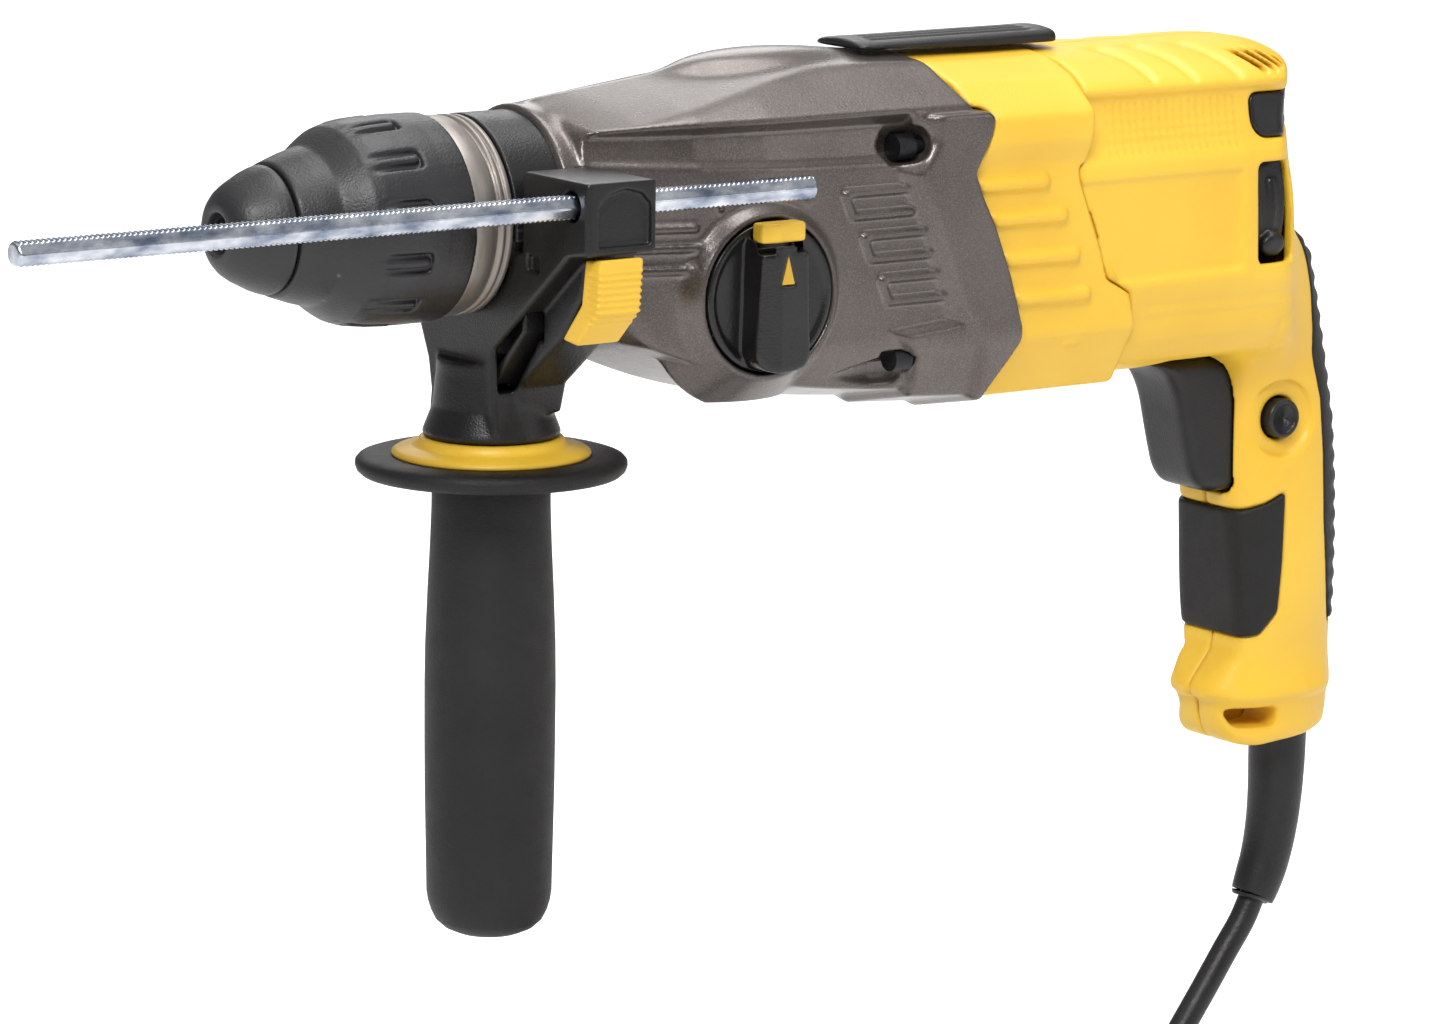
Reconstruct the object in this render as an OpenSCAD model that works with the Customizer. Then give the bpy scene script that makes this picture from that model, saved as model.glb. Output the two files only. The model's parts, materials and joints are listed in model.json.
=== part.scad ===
/* [Nose] */
// Radius of the collar that the side handle clamps on
collar_r = 24; // [23:0.5:24]
// Radius of the rubber dust cap at its rear edge
cap_r = 16.6; // [15:0.1:17]
// Largest radius of the locking sleeve
sleeve_r = 27.2; // [27:0.1:28]
// Backward travel of the locking sleeve
sleeve_travel = 6; // [2:0.5:6]
// Radius of the tool shank bore
shank_r = 5.05; // [5.02:0.01:5.1]

/* [Body] */
// Half width of the gear housing
gear_half_w = 35; // [34:0.5:36]
// Half width of the motor housing
motor_half_w = 36.5; // [35.5:0.5:38]
// Wall thickness of the plastic shells
wall = 2.8; // [2.4:0.1:3]
// Half width of the main grip
grip_half_w = 17; // [16:0.5:18]

/* [Mode knob] */
// Radius of the knob's disc
knob_r = 20; // [18:0.5:20.5]
// Height of the knob's bar above its disc
knob_bar_h = 8; // [6:0.5:9]

/* [Side handle] */
// Radius of the hand guard
guard_r = 35.7; // [32:0.5:38]
// Largest radius of the side grip
side_grip_r = 17.3; // [16:0.1:18]
// Length of the side grip below its guard
side_grip_len = 123; // [100:1:126]
// Length of the depth rod
rod_len = 236; // [200:1:250]

/* [Gears] */
// Teeth on the motor pinion
pinion_teeth = 9; // [9:1:9]
// Teeth on the gear that the motor pinion drives
counter_teeth = 42; // [42:1:42]
// Tooth module of that pair
motor_module = 0.9; // [0.9:0.1:0.9]
// Teeth on the pinion that drives the spindle
drive_teeth = 10; // [10:1:10]
// Teeth on the spindle gear
spindle_teeth = 40; // [40:1:40]
// Tooth module of that pair
spindle_module = 1.4; // [1.4:0.1:1.4]

/* [Cord] */
// Diameter of the mains cord
cord_d = 7.6; // [7:0.1:8]

/* [Hidden] */
$fn = 64;

// Shapes are drawn from the nose tip (x = 0) and the spindle axis (z = 0), then moved so
// that the origin is the centre of the main grip.
grip_x = 353;
grip_z = -115;

// Shafts. The spindle lies on z = 0.
counter_z = -35;
motor_z = counter_z + motor_module * (pinion_teeth + counter_teeth) / 2;
wobble_x = 178;
split_x = 222;
step_x = 257;

// Stations along the spindle
strap_x = [76, 91.5];
sleeve_end = strap_x[0] - sleeve_travel - 5.7;
spindle_gear_x = [156.5, 164.5];
counter_gear_x = [205, 212];

// Colours
casting = "#7a716b";
shell_yellow = "#f2cf3b";
rubber = "#2b2b2d";
steel = "#b9bcc0";
copper = "#b46a3c";

// Side handle
handle_x = 86;
neck_z = -58.7;
rod_y = -50;
rod_z = 7.6;
rod_x0 = -84;
rod_w = 6.2;

// Controls
knob_x = 148;
knob_z = -22.5;
knob_face_y = -38;
lock_x = 343;
lock_z = -75.4;

// ---- placing helpers ----

module place() translate([-grip_x, 0, -grip_z]) children();

// A side view outline (x, z) with thickness from y0 to y1
module side(y0, y1) translate([0, y1, 0]) rotate([90, 0, 0]) linear_extrude(y1 - y0) children();

// A front view outline (y, z) reaching from x0 to x1
module front(x0, x1) translate([x0, 0, 0]) rotate([90, 0, 90]) linear_extrude(x1 - x0) children();

// A top view outline (x, y) reaching from z0 to z1
module plan(z0, z1) translate([0, 0, z0]) linear_extrude(z1 - z0) children();

// A round bar about the x direction
module bar(x0, x1, r, z = 0, y = 0)
    translate([x0, y, z]) rotate([0, 90, 0]) cylinder(h = x1 - x0, r = r);

// A ring about the x direction
module ring(x0, x1, r_in, r_out, z = 0, y = 0) difference() {
    bar(x0, x1, r_out, z, y);
    bar(x0 - 1, x1 + 1, r_in, z, y);
}

// A turned shape about the x direction, from points (radius, x)
module turned(points, z = 0)
    translate([0, 0, z]) rotate([0, 90, 0]) rotate_extrude() polygon(points);

// A round pin along y
module cross_pin(x, z, y0, y1, r)
    translate([x, y1, z]) rotate([90, 0, 0]) cylinder(h = y1 - y0, r = r);

// ---- gear teeth ----

pressure = 25;
addendum = 0.8;
dedendum = 1.05;
backlash = 0.12;

function involute(rb, a) = [rb * (cos(a) + a * PI / 180 * sin(a)), rb * (sin(a) - a * PI / 180 * cos(a))];
function inv_angle(rb, r) = sqrt(r * r / (rb * rb) - 1) * 180 / PI;
function turn2(p, a) = [p.x * cos(a) - p.y * sin(a), p.x * sin(a) + p.y * cos(a)];

// One flank of a tooth that is centred on angle 0, from root to tip
function flank(teeth, m) = let (
    r = m * teeth / 2,
    rb = r * cos(pressure),
    ra = r + addendum * m,
    a_pitch = inv_angle(rb, r),
    pitch_pt = involute(rb, a_pitch),
    half = 90 / teeth - backlash * 90 / (PI * r),
    shift = half + atan2(pitch_pt.y, pitch_pt.x),
    a_tip = inv_angle(rb, ra)
) [for (i = [0 : 4]) let (p = involute(rb, a_tip * i / 4)) turn2([p.x, -p.y], shift)];

module gear_2d(teeth, m) {
    root = m * teeth / 2 - dedendum * m;
    points = [for (t = [0 : teeth - 1]) let (
        f = flank(teeth, m),
        base_a = atan2(f[0].y, f[0].x),
        low = [root * cos(base_a), root * sin(base_a)],
        up = concat([low], f),
        n = len(up) - 1
    ) each concat(
        [for (i = [0 : n]) turn2([up[i].x, -up[i].y], t * 360 / teeth)],
        [for (i = [n : -1 : 0]) turn2(up[i], t * 360 / teeth)]
    )];
    polygon(points);
}

// A gear about the x direction. At angle 0 one tooth points straight down.
module gear(x0, x1, teeth, m, z, angle, bore)
    translate([x0, 0, z]) rotate([0, 90, 0]) linear_extrude(x1 - x0) difference() {
        rotate(angle) gear_2d(teeth, m);
        circle(r = bore);
    }

// ---- casings ----

// Outer form of the gear housing, drawn in by t on every side
module gear_form(t) intersection() {
    side(-60, 60) polygon([[92 + t, 24 - t], [104, 29.5 - t], [151, 35 - t], [181, 36.5 - t],
        [split_x, 35.5 - t], [split_x, -60 + t], [186, -57.3 + t], [153, -53 + t],
        [127, -46 + t], [108, -38 + t], [92 + t, -24 + t]]);
    front(90, split_x) polygon([[-13, 40], [13, 40], [26 - t, 27 - t / 2], [34 - t, 17],
        [gear_half_w - t, 9], [gear_half_w - t, -42], [22 - t / 2, -62], [-22 + t / 2, -62],
        [-gear_half_w + t, -42], [-gear_half_w + t, 9], [-34 + t, 17], [-26 + t, 27 - t / 2]]);
    plan(-70, 50) polygon([[92, 24 - t], [128, gear_half_w - 2 - t], [150, gear_half_w - t],
        [split_x, gear_half_w - t], [split_x, -gear_half_w + t], [150, -gear_half_w + t],
        [128, -gear_half_w + 2 + t], [92, -24 + t]]);
    turned([[0, 92], [24.6, 92], [27.5, 98], [33, 104], [41, 112], [60, 124], [70, 150],
        [70, split_x], [0, split_x]]);
}

screw_y = 30.5;
screw_z = [13, -43.5];
module at_screws() for (y = [-screw_y, screw_y], z = screw_z) translate([0, y, z]) children();

module gear_housing() place() color(casting) difference() {
    union() {
        gear_form(0);
        bar(74.9, 96, collar_r);
        // raised rear rim
        intersection() {
            front(212, split_x) polygon([[-16, 37.4], [16, 37.4], [36.4, 18], [36.4, -44],
                [23, -61.5], [-23, -61.5], [-36.4, -44], [-36.4, 18]]);
            side(-60, 60) polygon([[216, 38], [split_x, 38], [split_x, -62], [212, -62]]);
        }
    }
    bar(70, 82, 18.2);
    bar(80, 100, 14);
    bar(97, 110, 18.5);
    bar(109, 134, 15.5);
    bar(133, split_x + 1, 30.6);
    bar(134, split_x + 1, 11.2, counter_z);
    bar(166, split_x + 1, 17.9, counter_z);
    bar(201, split_x + 1, 20.6, counter_z);
    // room behind the spindle gear, down to the countershaft
    side(-19, 19) polygon([[143, 0], [split_x + 1, 0], [split_x + 1, -46], [166, -44], [143, -38]]);
    // room for the shift plate, and a flat seat for the bearing flange
    translate([137, -25.4, -32]) cube([20, 8, 26]);
    difference() {
        intersection() {
            gear_form(4.4);
            bar(214.3, split_x + 1, 70);
        }
        at_screws() bar(210, split_x + 1, 5.8);
    }
    // knob seat
    cross_pin(knob_x, knob_z, -40, -31.5, knob_r + 0.4);
    cross_pin(knob_x, knob_z, -40, -25, 9.05);
    // screw pockets
    at_screws() {
        bar(190, 200, 3.9);
        bar(198, split_x + 1, 2.1);
    }
}

module bearing_flange() place() color("#8f9296") difference() {
    intersection() {
        gear_form(4.6);
        bar(214.5, split_x - 0.1, 40, -13);
    }
    bar(200, 230, 5.5, motor_z);
    bar(218, 230, 11, motor_z);
    bar(200, 218, 9.5, counter_z);
    bar(200, 230, 2, -2, 26);
    bar(200, 230, 17.5, 16);
    at_screws() bar(200, 230, 6);
}

module motor_outline(t) polygon([[split_x, 35.5 - t], [243, 34.4 - t], [step_x, 34.2 - t],
    [step_x, -61 + t], [243, -62 + t], [split_x, -61.5 + t]]);

module motor_section(t) polygon([[-16, 40], [16, 40], [36.5 - t, 17 - t / 2],
    [motor_half_w - t, 14], [motor_half_w - t, -44], [23 - t / 2, -63], [-23 + t / 2, -63],
    [-motor_half_w + t, -44], [-motor_half_w + t, 14], [-36.5 + t, 17 - t / 2]]);

module motor_housing() place() color(shell_yellow) difference() {
    union() {
        intersection() {
            side(-60, 60) motor_outline(0);
            front(split_x, step_x) motor_section(0);
        }
        // sleeve that holds the stator inside the handle shells
        bar(step_x - 2, 296, 33, motor_z);
        bar(295, 332, 24.5, motor_z);
    }
    difference() {
        intersection() {
            side(-60, 60) motor_outline(wall);
            front(split_x - 1, 230) motor_section(wall + 3.5);
        }
        at_screws() bar(split_x - 2, 240, 4.5);
    }
    bar(229, 294, 31, motor_z);
    bar(290, 318, 22.2, motor_z);
    bar(315, 334, 6, motor_z);
    bar(320, 334, 8, motor_z);
    at_screws() bar(split_x - 2, 250, 2);
    // ways for the direction lever and the brushes
    front(312.6, 321) polygon([[-26, 4], [-16, 2], [-16, -26], [-26, -29]]);
}

// Side outline of the rear shells, drawn in by t
module shell_outline(t) polygon([[step_x + 0.1, 34.2 - t], [323, 34.2 - t], [345 - t / 2, 29 - t],
    [355.8 - t, 19 - t / 2], [355 - t, 4], [361 - t, -8], [366.5 - t, -25.5], [370.7 - t, -46],
    [374.6 - t, -75], [376.4 - t, -92], [376.8 - t, -108], [376 - t, -134], [373.8 - t, -146],
    [375.2 - t, -154], [373 - t, -162], [369 - t, -168.5 + t], [349, -169.2 + t],
    [339, -170.4 + t], [332.5, -169 + t], [327 + t, -161.5], [324.5 + t, -153], [329 + t, -146],
    [332 + t, -138], [329.5 + t, -102], [328.5 + t, -95.5], [326.5 + t, -66],
    [321 + t, -56 + t], [298, -56 + t], [288, -59.8 + t], [step_x + 0.1, -61 + t]]);

// Half outline of the shells seen from above, upper body and grip
module shell_body(t) {
    front(step_x, 380) polygon([[0, 40], [16 - t / 2, 36], [30 - t, 24], [34.5 - t, 14],
        [33 - t, 1], [34 - t, -1], [34 - t, -31], [31 - t, -36], [29 - t, -48], [19 - t, -57],
        [0, -57]]);
}

module shell_grip(t) plan(-172, -40) polygon([[323, 0], [323 + t, 9 - t], [329 + t, 14.5 - t],
    [338, grip_half_w - t], [352, grip_half_w - t], [364, 15.5 - t], [371 - t, 11.5 - t],
    [380, 0]]);

module shell_top(t) plan(-58, 40) polygon([[step_x, 0], [step_x, 40], [333, 40],
    [344 - t / 2, 31 - t], [352 - t, 22 - t], [358 - t, 16 - t], [380, 15 - t], [380, 0]]);

module shell_front_foot(t) front(280, 345) polygon([[0, -50], [12 - t, -50], [12 - t, -172],
    [0, -172]]);

// The shell that lies on +y; the other one is its mirror image
module half_shell() difference() {
    intersection() {
        side(0, 45) shell_outline(0);
        union() {
            intersection() {
                shell_body(0);
                shell_top(0);
            }
            shell_grip(0);
            intersection() {
                shell_front_foot(0);
                side(0, 45) polygon([[322, -140], [322, -172], [345, -172], [345, -140]]);
            }
            side(0, 25) polygon([[step_x + 0.1, -50], [step_x + 0.1, -62], [300, -62],
                [325, -50]]);
        }
    }
    difference() {
        intersection() {
            side(-1, 45) shell_outline(wall);
            union() {
                intersection() {
                    shell_body(wall);
                    shell_top(wall);
                }
                shell_grip(wall);
                side(-1, 22) polygon([[step_x, -50], [step_x, -59], [300, -57], [325, -50]]);
            }
        }
        // bosses for the case screws
        at_case_screws() cylinder(h = 40, r = 4);
        // solid foot around the lanyard loop
        side(-2, 46) polygon([[320, -156.5], [346.5, -156.5], [346.5, -175], [320, -175]]);
    }
    at_case_screws() translate([0, 0, -1]) cylinder(h = 42, r = 1.6);
    bar(step_x - 2, 297, 33.1, motor_z);
    bar(294, 333, 24.6, motor_z);
    // trigger well
    side(-1, 12) polygon([[300, -56.9], [336, -56.9], [336, -96.6], [300, -96.6]]);
    // seats for the grille, the back pad, the palm pad and the strain relief
    rear_grille_form(0.02);
    back_pad_form(0.02);
    palm_pad_form(0.02);
    translate([358.5, 0, -175]) cylinder(h = 20, r = 8.6);
    translate([358.5, 0, -162]) cylinder(h = 12, r = 10.6);
    // lanyard loop
    side(-1, 20) polygon([[332.5, -159.6], [344, -159.6], [344, -164.8], [332.5, -164.8]]);
}

// The screws' places in the side view, as an axis along +y
module at_case_screws() for (p = [[268, 29], [340, 23], [268, -53.5], [337, -100], [364, -60],
    [336, -146]])
    translate([p[0], 0, p[1]]) rotate([-90, 0, 0]) children();

module handle_shell_right() place() color(shell_yellow) half_shell();

module handle_shell_left() place() color(shell_yellow) difference() {
    mirror([0, 1, 0]) half_shell();
    // lever window
    side(-45, -20) polygon([[318, 2.2], [329, 2.2], [331, -27], [319, -27]]);
    // seat and bore of the lock button
    cross_pin(lock_x, lock_z, -30, -10, 5.7);
}

module rear_grille_form(t) intersection() {
    front(316 - t, 380) polygon([[-33 - t, 16 + t], [33 + t, 16 + t], [33 + t, 4 - t],
        [-33 - t, 4 - t]]);
    plan(-10, 30) polygon([[316, 40], [334, 40], [352, 21.5], [357.5, 14], [357.5, -14],
        [352, -21.5], [334, -40], [316, -40], [316, -29.5], [331, -29.5], [346, -15],
        [350, -8], [350, 8], [346, 15], [331, 29.5], [316, 29.5]]);
}

module rear_grille() place() color(rubber) difference() {
    intersection() {
        rear_grille_form(0);
        side(-45, 45) polygon([[300, 20], [354.6, 17], [352.8, 10], [353.8, 4], [300, 0]]);
        union() {
            shell_top(0.3);
            mirror([0, 1, 0]) shell_top(0.3);
        }
        front(300, 380) polygon([[-34, 20], [34, 20], [32.4, 2], [-32.4, 2]]);
    }
    for (i = [0 : 4]) translate([340, -50, 5.2 + i * 2.2]) cube([30, 100, 0.9]);
}

module back_pad_form(t) intersection() {
    side(-11 - t, 11 + t) polygon([[352, -7 + t], [364, -7 + t], [378, -60], [380, -136 - t],
        [371.5 - t, -136 - t], [370.9 - t, -108], [368.6 - t, -75], [364.7 - t, -46],
        [360.5 - t, -25.5]]);
}

module back_grip_pad() place() color(rubber) intersection() {
    back_pad_form(0);
    side(-20, 20) shell_outline(-0.6);
    plan(-172, 0) polygon([[340, 13], [371, 13], [377.5, 5], [377.5, -5], [371, -13],
        [340, -13]]);
}

module palm_pad_form(t) difference() {
    intersection() {
        side(-18, 18) polygon([[320, -100 + t], [331, -100 + t], [344 + t, -96 + t],
            [344 + t, -127], [339, -134 - t], [320, -134 - t]]);
        plan(-140, -90) polygon([[326, 0], [326, 10], [330, 15], [337, 18], [346, 18], [346, -18],
            [337, -18], [330, -15], [326, -10]]);
    }
    plan(-141, -89) polygon([[331 + t, 8], [333.5 + t, 12 - t], [338, 15.4 - t],
        [346, 15.4 - t], [346, -15.4 + t], [338, -15.4 + t], [333.5 + t, -12 + t],
        [331 + t, -8]]);
}

module palm_pad() place() color(rubber) intersection() {
    palm_pad_form(0);
    side(-18, 18) shell_outline(-0.4);
    plan(-140, -90) polygon([[328.2, 0], [329, 9], [332, 14.3], [339, grip_half_w + 0.3],
        [346, grip_half_w + 0.3], [346, -grip_half_w - 0.3], [339, -grip_half_w - 0.3],
        [332, -14.3], [329, -9]]);
}

module top_strip() place() color(rubber) difference() {
    front(196, 265) polygon([[-12, 35], [12, 35], [10, 39.2], [-10, 39.2]]);
    gear_form(0);
    front(209, split_x) polygon([[-16, 37.4], [16, 37.4], [36, 18], [-36, 18]]);
    side(-60, 60) motor_outline(0);
    side(-60, 60) shell_outline(0);
    front(190, 209) polygon([[-20, 36.6], [20, 36.6], [20, 30], [-20, 30]]);
}

module housing_screws() place() color(steel) at_screws() {
    bar(192.5, 198, 3.6);
    bar(198, 249, 1.98);
}

module case_screws() place() color(steel) mirror([0, 1, 0]) at_case_screws()
    translate([0, 0, -8]) cylinder(h = 18, r = 1.58);

// ---- bearings and motor stator ----

module spindle_bearing() place() color(steel) difference() {
    bar(100, 108, 18.48);
    bar(99, 109, 12.53);
    ring(99, 101, 14.5, 16.5);
    ring(107, 109, 14.5, 16.5);
}

module spindle_seal() place() color(rubber) ring(76, 81.5, 12.55, 18.18);

module shaft_bearings() place() color(steel) {
    ring(136, 142, 5.03, 11.18, counter_z);
    ring(215, 217.8, 5.03, 9.48, counter_z);
}

module rotor_bearings() place() color(steel) {
    ring(218.2, 221.8, 5.03, 10.98, motor_z);
    ring(320.2, 327, 4.03, 7.98, motor_z);
}

module stator_core() place() color("#70757c") difference() {
    bar(236, 282, 30.98, motor_z);
    bar(235, 283, 19.4, motor_z);
    for (a = [0, 180]) translate([0, 0, motor_z]) rotate([a, 0, 0]) translate([235, -14, 17])
        cube([48, 28, 5]);
}

module field_coils() place() color(copper) for (a = [0, 180])
    translate([0, 0, motor_z]) rotate([a, 0, 0]) difference() {
        translate([231.5, -13.5, 19.9]) cube([55, 27, 1.8]);
        translate([240, -5, 15]) cube([38, 10, 9]);
    }

// ---- switch and supply ----

module switch_body() place() color("#3c3f45") difference() {
    side(-8.5, 8.5) polygon([[337, -66], [358, -66], [360, -94], [337, -94]]);
    cross_pin(lock_x, lock_z, -9, 3, 2.6);
    bar(336, 353, 2.1, -84);
}

module suppressor() place() color("#c9b458") side(-5, 5) polygon([[338, -105], [352, -105],
    [353, -117], [339, -117]]);

module cord_clamp() place() color("#3c3f45") translate([0, 0, -148]) difference() {
    translate([350, -11.6, -4]) cube([14, 23.2, 7]);
    translate([358.5, 0, -5]) cylinder(h = 9, r = cord_d / 2);
}

// The cord's route outside the tool, from the end of its strain relief
relief_path = [[358.5, 0, -158], [358.5, 0, -161.9], [358.5, 0, -162.1], [358.5, 0, -170],
    [358.5, 0, -178], [358.2, 0, -188], [357.2, 0, -198], [355, 0, -208], [351, 0, -218]];
relief_radii = [10.4, 10.4, 8.5, 8.5, 8.2, 7.6, 7, 6.2, 5.5];
inner_path = [[358.5, 0, -118], [358.5, 0, -138], [358.5, 0, -158]];
lead_path = [[351, 0, -218], [347, 0, -225.5], [341, 0, -233.5], [333, -1, -243],
    [324, -2, -253.5], [315, -4, -262.5], [304.5, -8, -270.5], [292.5, -13.5, -277.5],
    [279.5, -21, -282.5], [266, -29.5, -285.3], [252, -38, -286.1], [238, -46, -286.2],
    [226, -52, -286.2], [218, -55, -286.2]];
tail_path = [[184, -56, -278.2], [172, -57.5, -279], [159, -60.5, -282], [147, -65, -285.5],
    [137, -70.5, -286.2]];
coil_x = 200;
coil_in = 28;
coil_out = 60;
coil_h = 15.6;
floor_z = -290;

function unit(v) = v / norm(v);
function heading(path, i) = let (n = len(path) - 1)
    unit(path[min(i + 1, n)] - path[max(i - 1, 0)]);
function ring_points(p, d, r, sides) = let (
    s = unit(cross(d, abs(d.y) > 0.9 ? [1, 0, 0] : [0, 1, 0])),
    u = cross(s, d)
) [for (k = [0 : sides - 1]) p + r * (cos(k * 360 / sides) * s + sin(k * 360 / sides) * u)];

// A tube along a path, with a radius at each point
module sweep(path, radii, sides = 10) {
    n = len(path);
    rings = [for (i = [0 : n - 1]) each ring_points(path[i], heading(path, i), radii[i], sides)];
    walls = [for (i = [0 : n - 2], k = [0 : sides - 1]) let (
        a = i * sides + k,
        b = i * sides + (k + 1) % sides
    ) [a, a + sides, b + sides, b]];
    first_cap = [for (k = [0 : sides - 1]) k];
    last_cap = [for (k = [sides - 1 : -1 : 0]) (n - 1) * sides + k];
    polyhedron(points = rings, faces = concat(walls, [first_cap], [last_cap]));
}

module strain_relief() place() color(rubber) sweep(relief_path, relief_radii, 16);

module cord_lead() place() color(rubber) {
    sweep(inner_path, [for (p = inner_path) cord_d / 2]);
    sweep(lead_path, [for (p = lead_path) cord_d / 2]);
    sweep(tail_path, [for (p = tail_path) cord_d / 2]);
}

module cord_coil() place() color(rubber) translate([coil_x, 0, floor_z]) rotate_extrude()
    polygon([[coil_in, 0], [coil_out, 0], [coil_out, coil_h], [coil_in, coil_h]]);

module cord_tie() place() color("#3a3a3a") translate([coil_x, 0, floor_z]) difference() {
    translate([-4, coil_in - 1.3, 0]) cube([8, coil_out - coil_in + 2.6, coil_h + 1.3]);
    difference() {
        translate([0, 0, -1]) cylinder(h = coil_h + 1.05, r = coil_out + 0.05);
        translate([0, 0, -2]) cylinder(h = coil_h + 4, r = coil_in - 0.05);
    }
}

module at_plug() translate([137, -70.5, -286.2]) rotate([0, 0, 209]) children();

module plug_body() place() color(rubber) at_plug()
    difference() {
        rotate([0, 90, 0]) intersection() {
            union() {
                cylinder(h = 14, r = 5.2);
                translate([0, 0, 12]) cylinder(h = 10, r1 = 6, r2 = 17);
                translate([0, 0, 22]) cylinder(h = 16, r = 17.4);
            }
            translate([-10, -20, -1]) cube([13.8, 40, 45]);
        }
        for (y = [-9.5, 9.5]) translate([30, y, 3]) rotate([0, 90, 0]) cylinder(h = 9, r = 2.4);
    }

module plug_pins() place() color(steel) at_plug()
    for (y = [-9.5, 9.5]) translate([30, y, 3]) rotate([0, 90, 0]) {
        cylinder(h = 25.5, r = 2.4);
        translate([0, 0, 25.5]) sphere(r = 2.4);
    }

// ---- spindle and its lock ----

module tool_spindle() place() color(steel) difference() {
    turned([[0, 6], [10, 6], [10.8, 8], [10.8, 40], [11.5, 40], [11.5, 56], [12.5, 56],
        [12.5, 118], [14, 118], [14, 166], [0, 166]]);
    bar(-1, 27, shank_r);
    bar(26, 62, shank_r + 0.2);
    bar(61, 100, 8.05);
    bar(99, 191, 11.05);
    // pocket of the locking ball
    translate([32, 0, 4]) cylinder(h = 12, r = 3.55);
    translate([32, 0, -16]) cylinder(h = 12, r = 3.55);
}

module spindle_gear() place() color("#9a9da1") {
    gear(spindle_gear_x[0], spindle_gear_x[1], spindle_teeth, spindle_module, 0, 0, 14.02);
    ring(152.4, spindle_gear_x[0], 14.02, 18);
}

module clutch_spring() place() color("#8a8d92") for (i = [0 : 3])
    ring(138.8 + i * 3.4, 140.8 + i * 3.4, 14.02, 17);

module dust_cap() place() color(rubber) difference() {
    turned([[5.3, 0], [9, 0.4], [12.6, 2.6], [14.9, 6], [16, 10], [cap_r, 16.8], [12.6, 16.8],
        [12.6, 13], [11, 11], [5.3, 5.6]]);
    turned([[0, 5.9], [10.1, 5.9], [10.9, 7.9], [10.9, 17], [0, 17]]);
}

module locking_balls() place() color(steel) for (s = [-1, 1])
    translate([32, 0, s * 7.9]) sphere(r = 3.5);

module sleeve_spring() place() color(steel) difference() {
    turned([[11.7, 41], [14.6, 41], [14.6, 55], [11.7, 55]]);
    for (i = [0 : 3]) ring(42.8 + i * 3.4, 43.9 + i * 3.4, 12.8, 15);
}

module locking_sleeve() place() color(rubber) difference() {
    turned([[15, 17.4], [cap_r + 0.5, 17.4], [19.4, 24], [20.2, 28], [21.8, 31.5], [25, 35.4],
        [26.2, 38.6], [27, 46], [sleeve_r, 54], [sleeve_r, 62], [26.9, sleeve_end],
        [26.3, sleeve_end], [26.3, 56], [15, 56]]);
    bar(39.9, 57, 24);
    bar(28, 36.1, 15.9);
    // grip recesses around the rim
    for (a = [13 : 30 : 359]) rotate([90 - a, 0, 0]) translate([34.5, -2.6, sleeve_r - 1.5])
        cube([16.6, 5.2, 4]);
    bar(10, 60, 11.9);
}

module change_ring() place() color("#9c958c") difference() {
    turned([[12.55, 62.5], [24.6, 62.5], [26, 63.5], [26, 70.6], [25.5, 71], [25.5, 71.6],
        [26, 72], [26, 74.6], [12.55, 74.6]]);
    bar(66.5, 75, 20);
}

// ---- countershaft and striking gear ----

drive_angle = 180 / drive_teeth;
module counter_shaft() place() color(steel) {
    bar(135, 157, 5, counter_z);
    translate([spindle_gear_x[0] - 0.3, 0, counter_z]) rotate([0, 90, 0]) linear_extrude(8.6)
        rotate(drive_angle) gear_2d(drive_teeth, spindle_module);
    bar(164.5, 217.9, 5, counter_z);
}

module counter_gear() place() color("#9a9da1")
    gear(counter_gear_x[0], counter_gear_x[1], counter_teeth, motor_module, counter_z, 0, 5.02);

module wobble_hub() place() color("#8f9296") intersection() {
    ring(wobble_x - 9, wobble_x + 9, 5.02, 11, counter_z);
    translate([wobble_x, 0, counter_z]) sphere(r = 11);
}

module wobble_ring() place() color("#a3a6aa") {
    difference() {
        translate([wobble_x, 0, counter_z]) rotate([0, 90, 0]) translate([0, 0, -4.5])
            cylinder(h = 9, r = 15.6);
        translate([wobble_x, 0, counter_z]) sphere(r = 11.4);
        bar(wobble_x - 8, wobble_x + 8, 10.7, counter_z);
    }
    translate([wobble_x, 0, counter_z + 14.6]) cylinder(h = 23, r = 3.4);
}

piston_x = [132, 187];
module piston() place() color("#c3c6ca") difference() {
    bar(piston_x[0], piston_x[1], 11);
    bar(piston_x[0] - 1, 160, 8.05);
    side(-4.2, 4.2) polygon([[wobble_x - 6.6, -12], [wobble_x + 6.6, -12], [wobble_x + 4.4, 0],
        [wobble_x + 4.6, 5], [wobble_x - 4.6, 5], [wobble_x - 4.4, 0]]);
}

module striker() place() color("#a8abb0") {
    bar(122, 145, 8);
    bar(118, 122.5, 6);
}

module impact_bolt() place() color("#a8abb0") turned([[0, 64], [5, 64], [8, 72], [8, 92],
    [5.5, 95], [5.5, 106], [0, 106]]);

// ---- rotor and brushes ----

motor_angle = 180 / pinion_teeth;
module rotor_shaft() place() color(steel) {
    translate([203.5, 0, motor_z]) rotate([0, 90, 0]) linear_extrude(10)
        rotate(motor_angle) gear_2d(pinion_teeth, motor_module);
    bar(213.4, 218, 3.4, motor_z);
    bar(218, 222.5, 5, motor_z);
    bar(222.5, 320, 5.6, motor_z);
    bar(320, 328, 4, motor_z);
}

module rotor_core() place() color("#7c8087") difference() {
    bar(238, 280, 18.8, motor_z);
    bar(237, 281, 5.62, motor_z);
    for (a = [0 : 30 : 359]) translate([0, 0, motor_z]) rotate([a, 0, 0])
        translate([237, -1.2, 13.5]) cube([44, 2.4, 6]);
}

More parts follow.
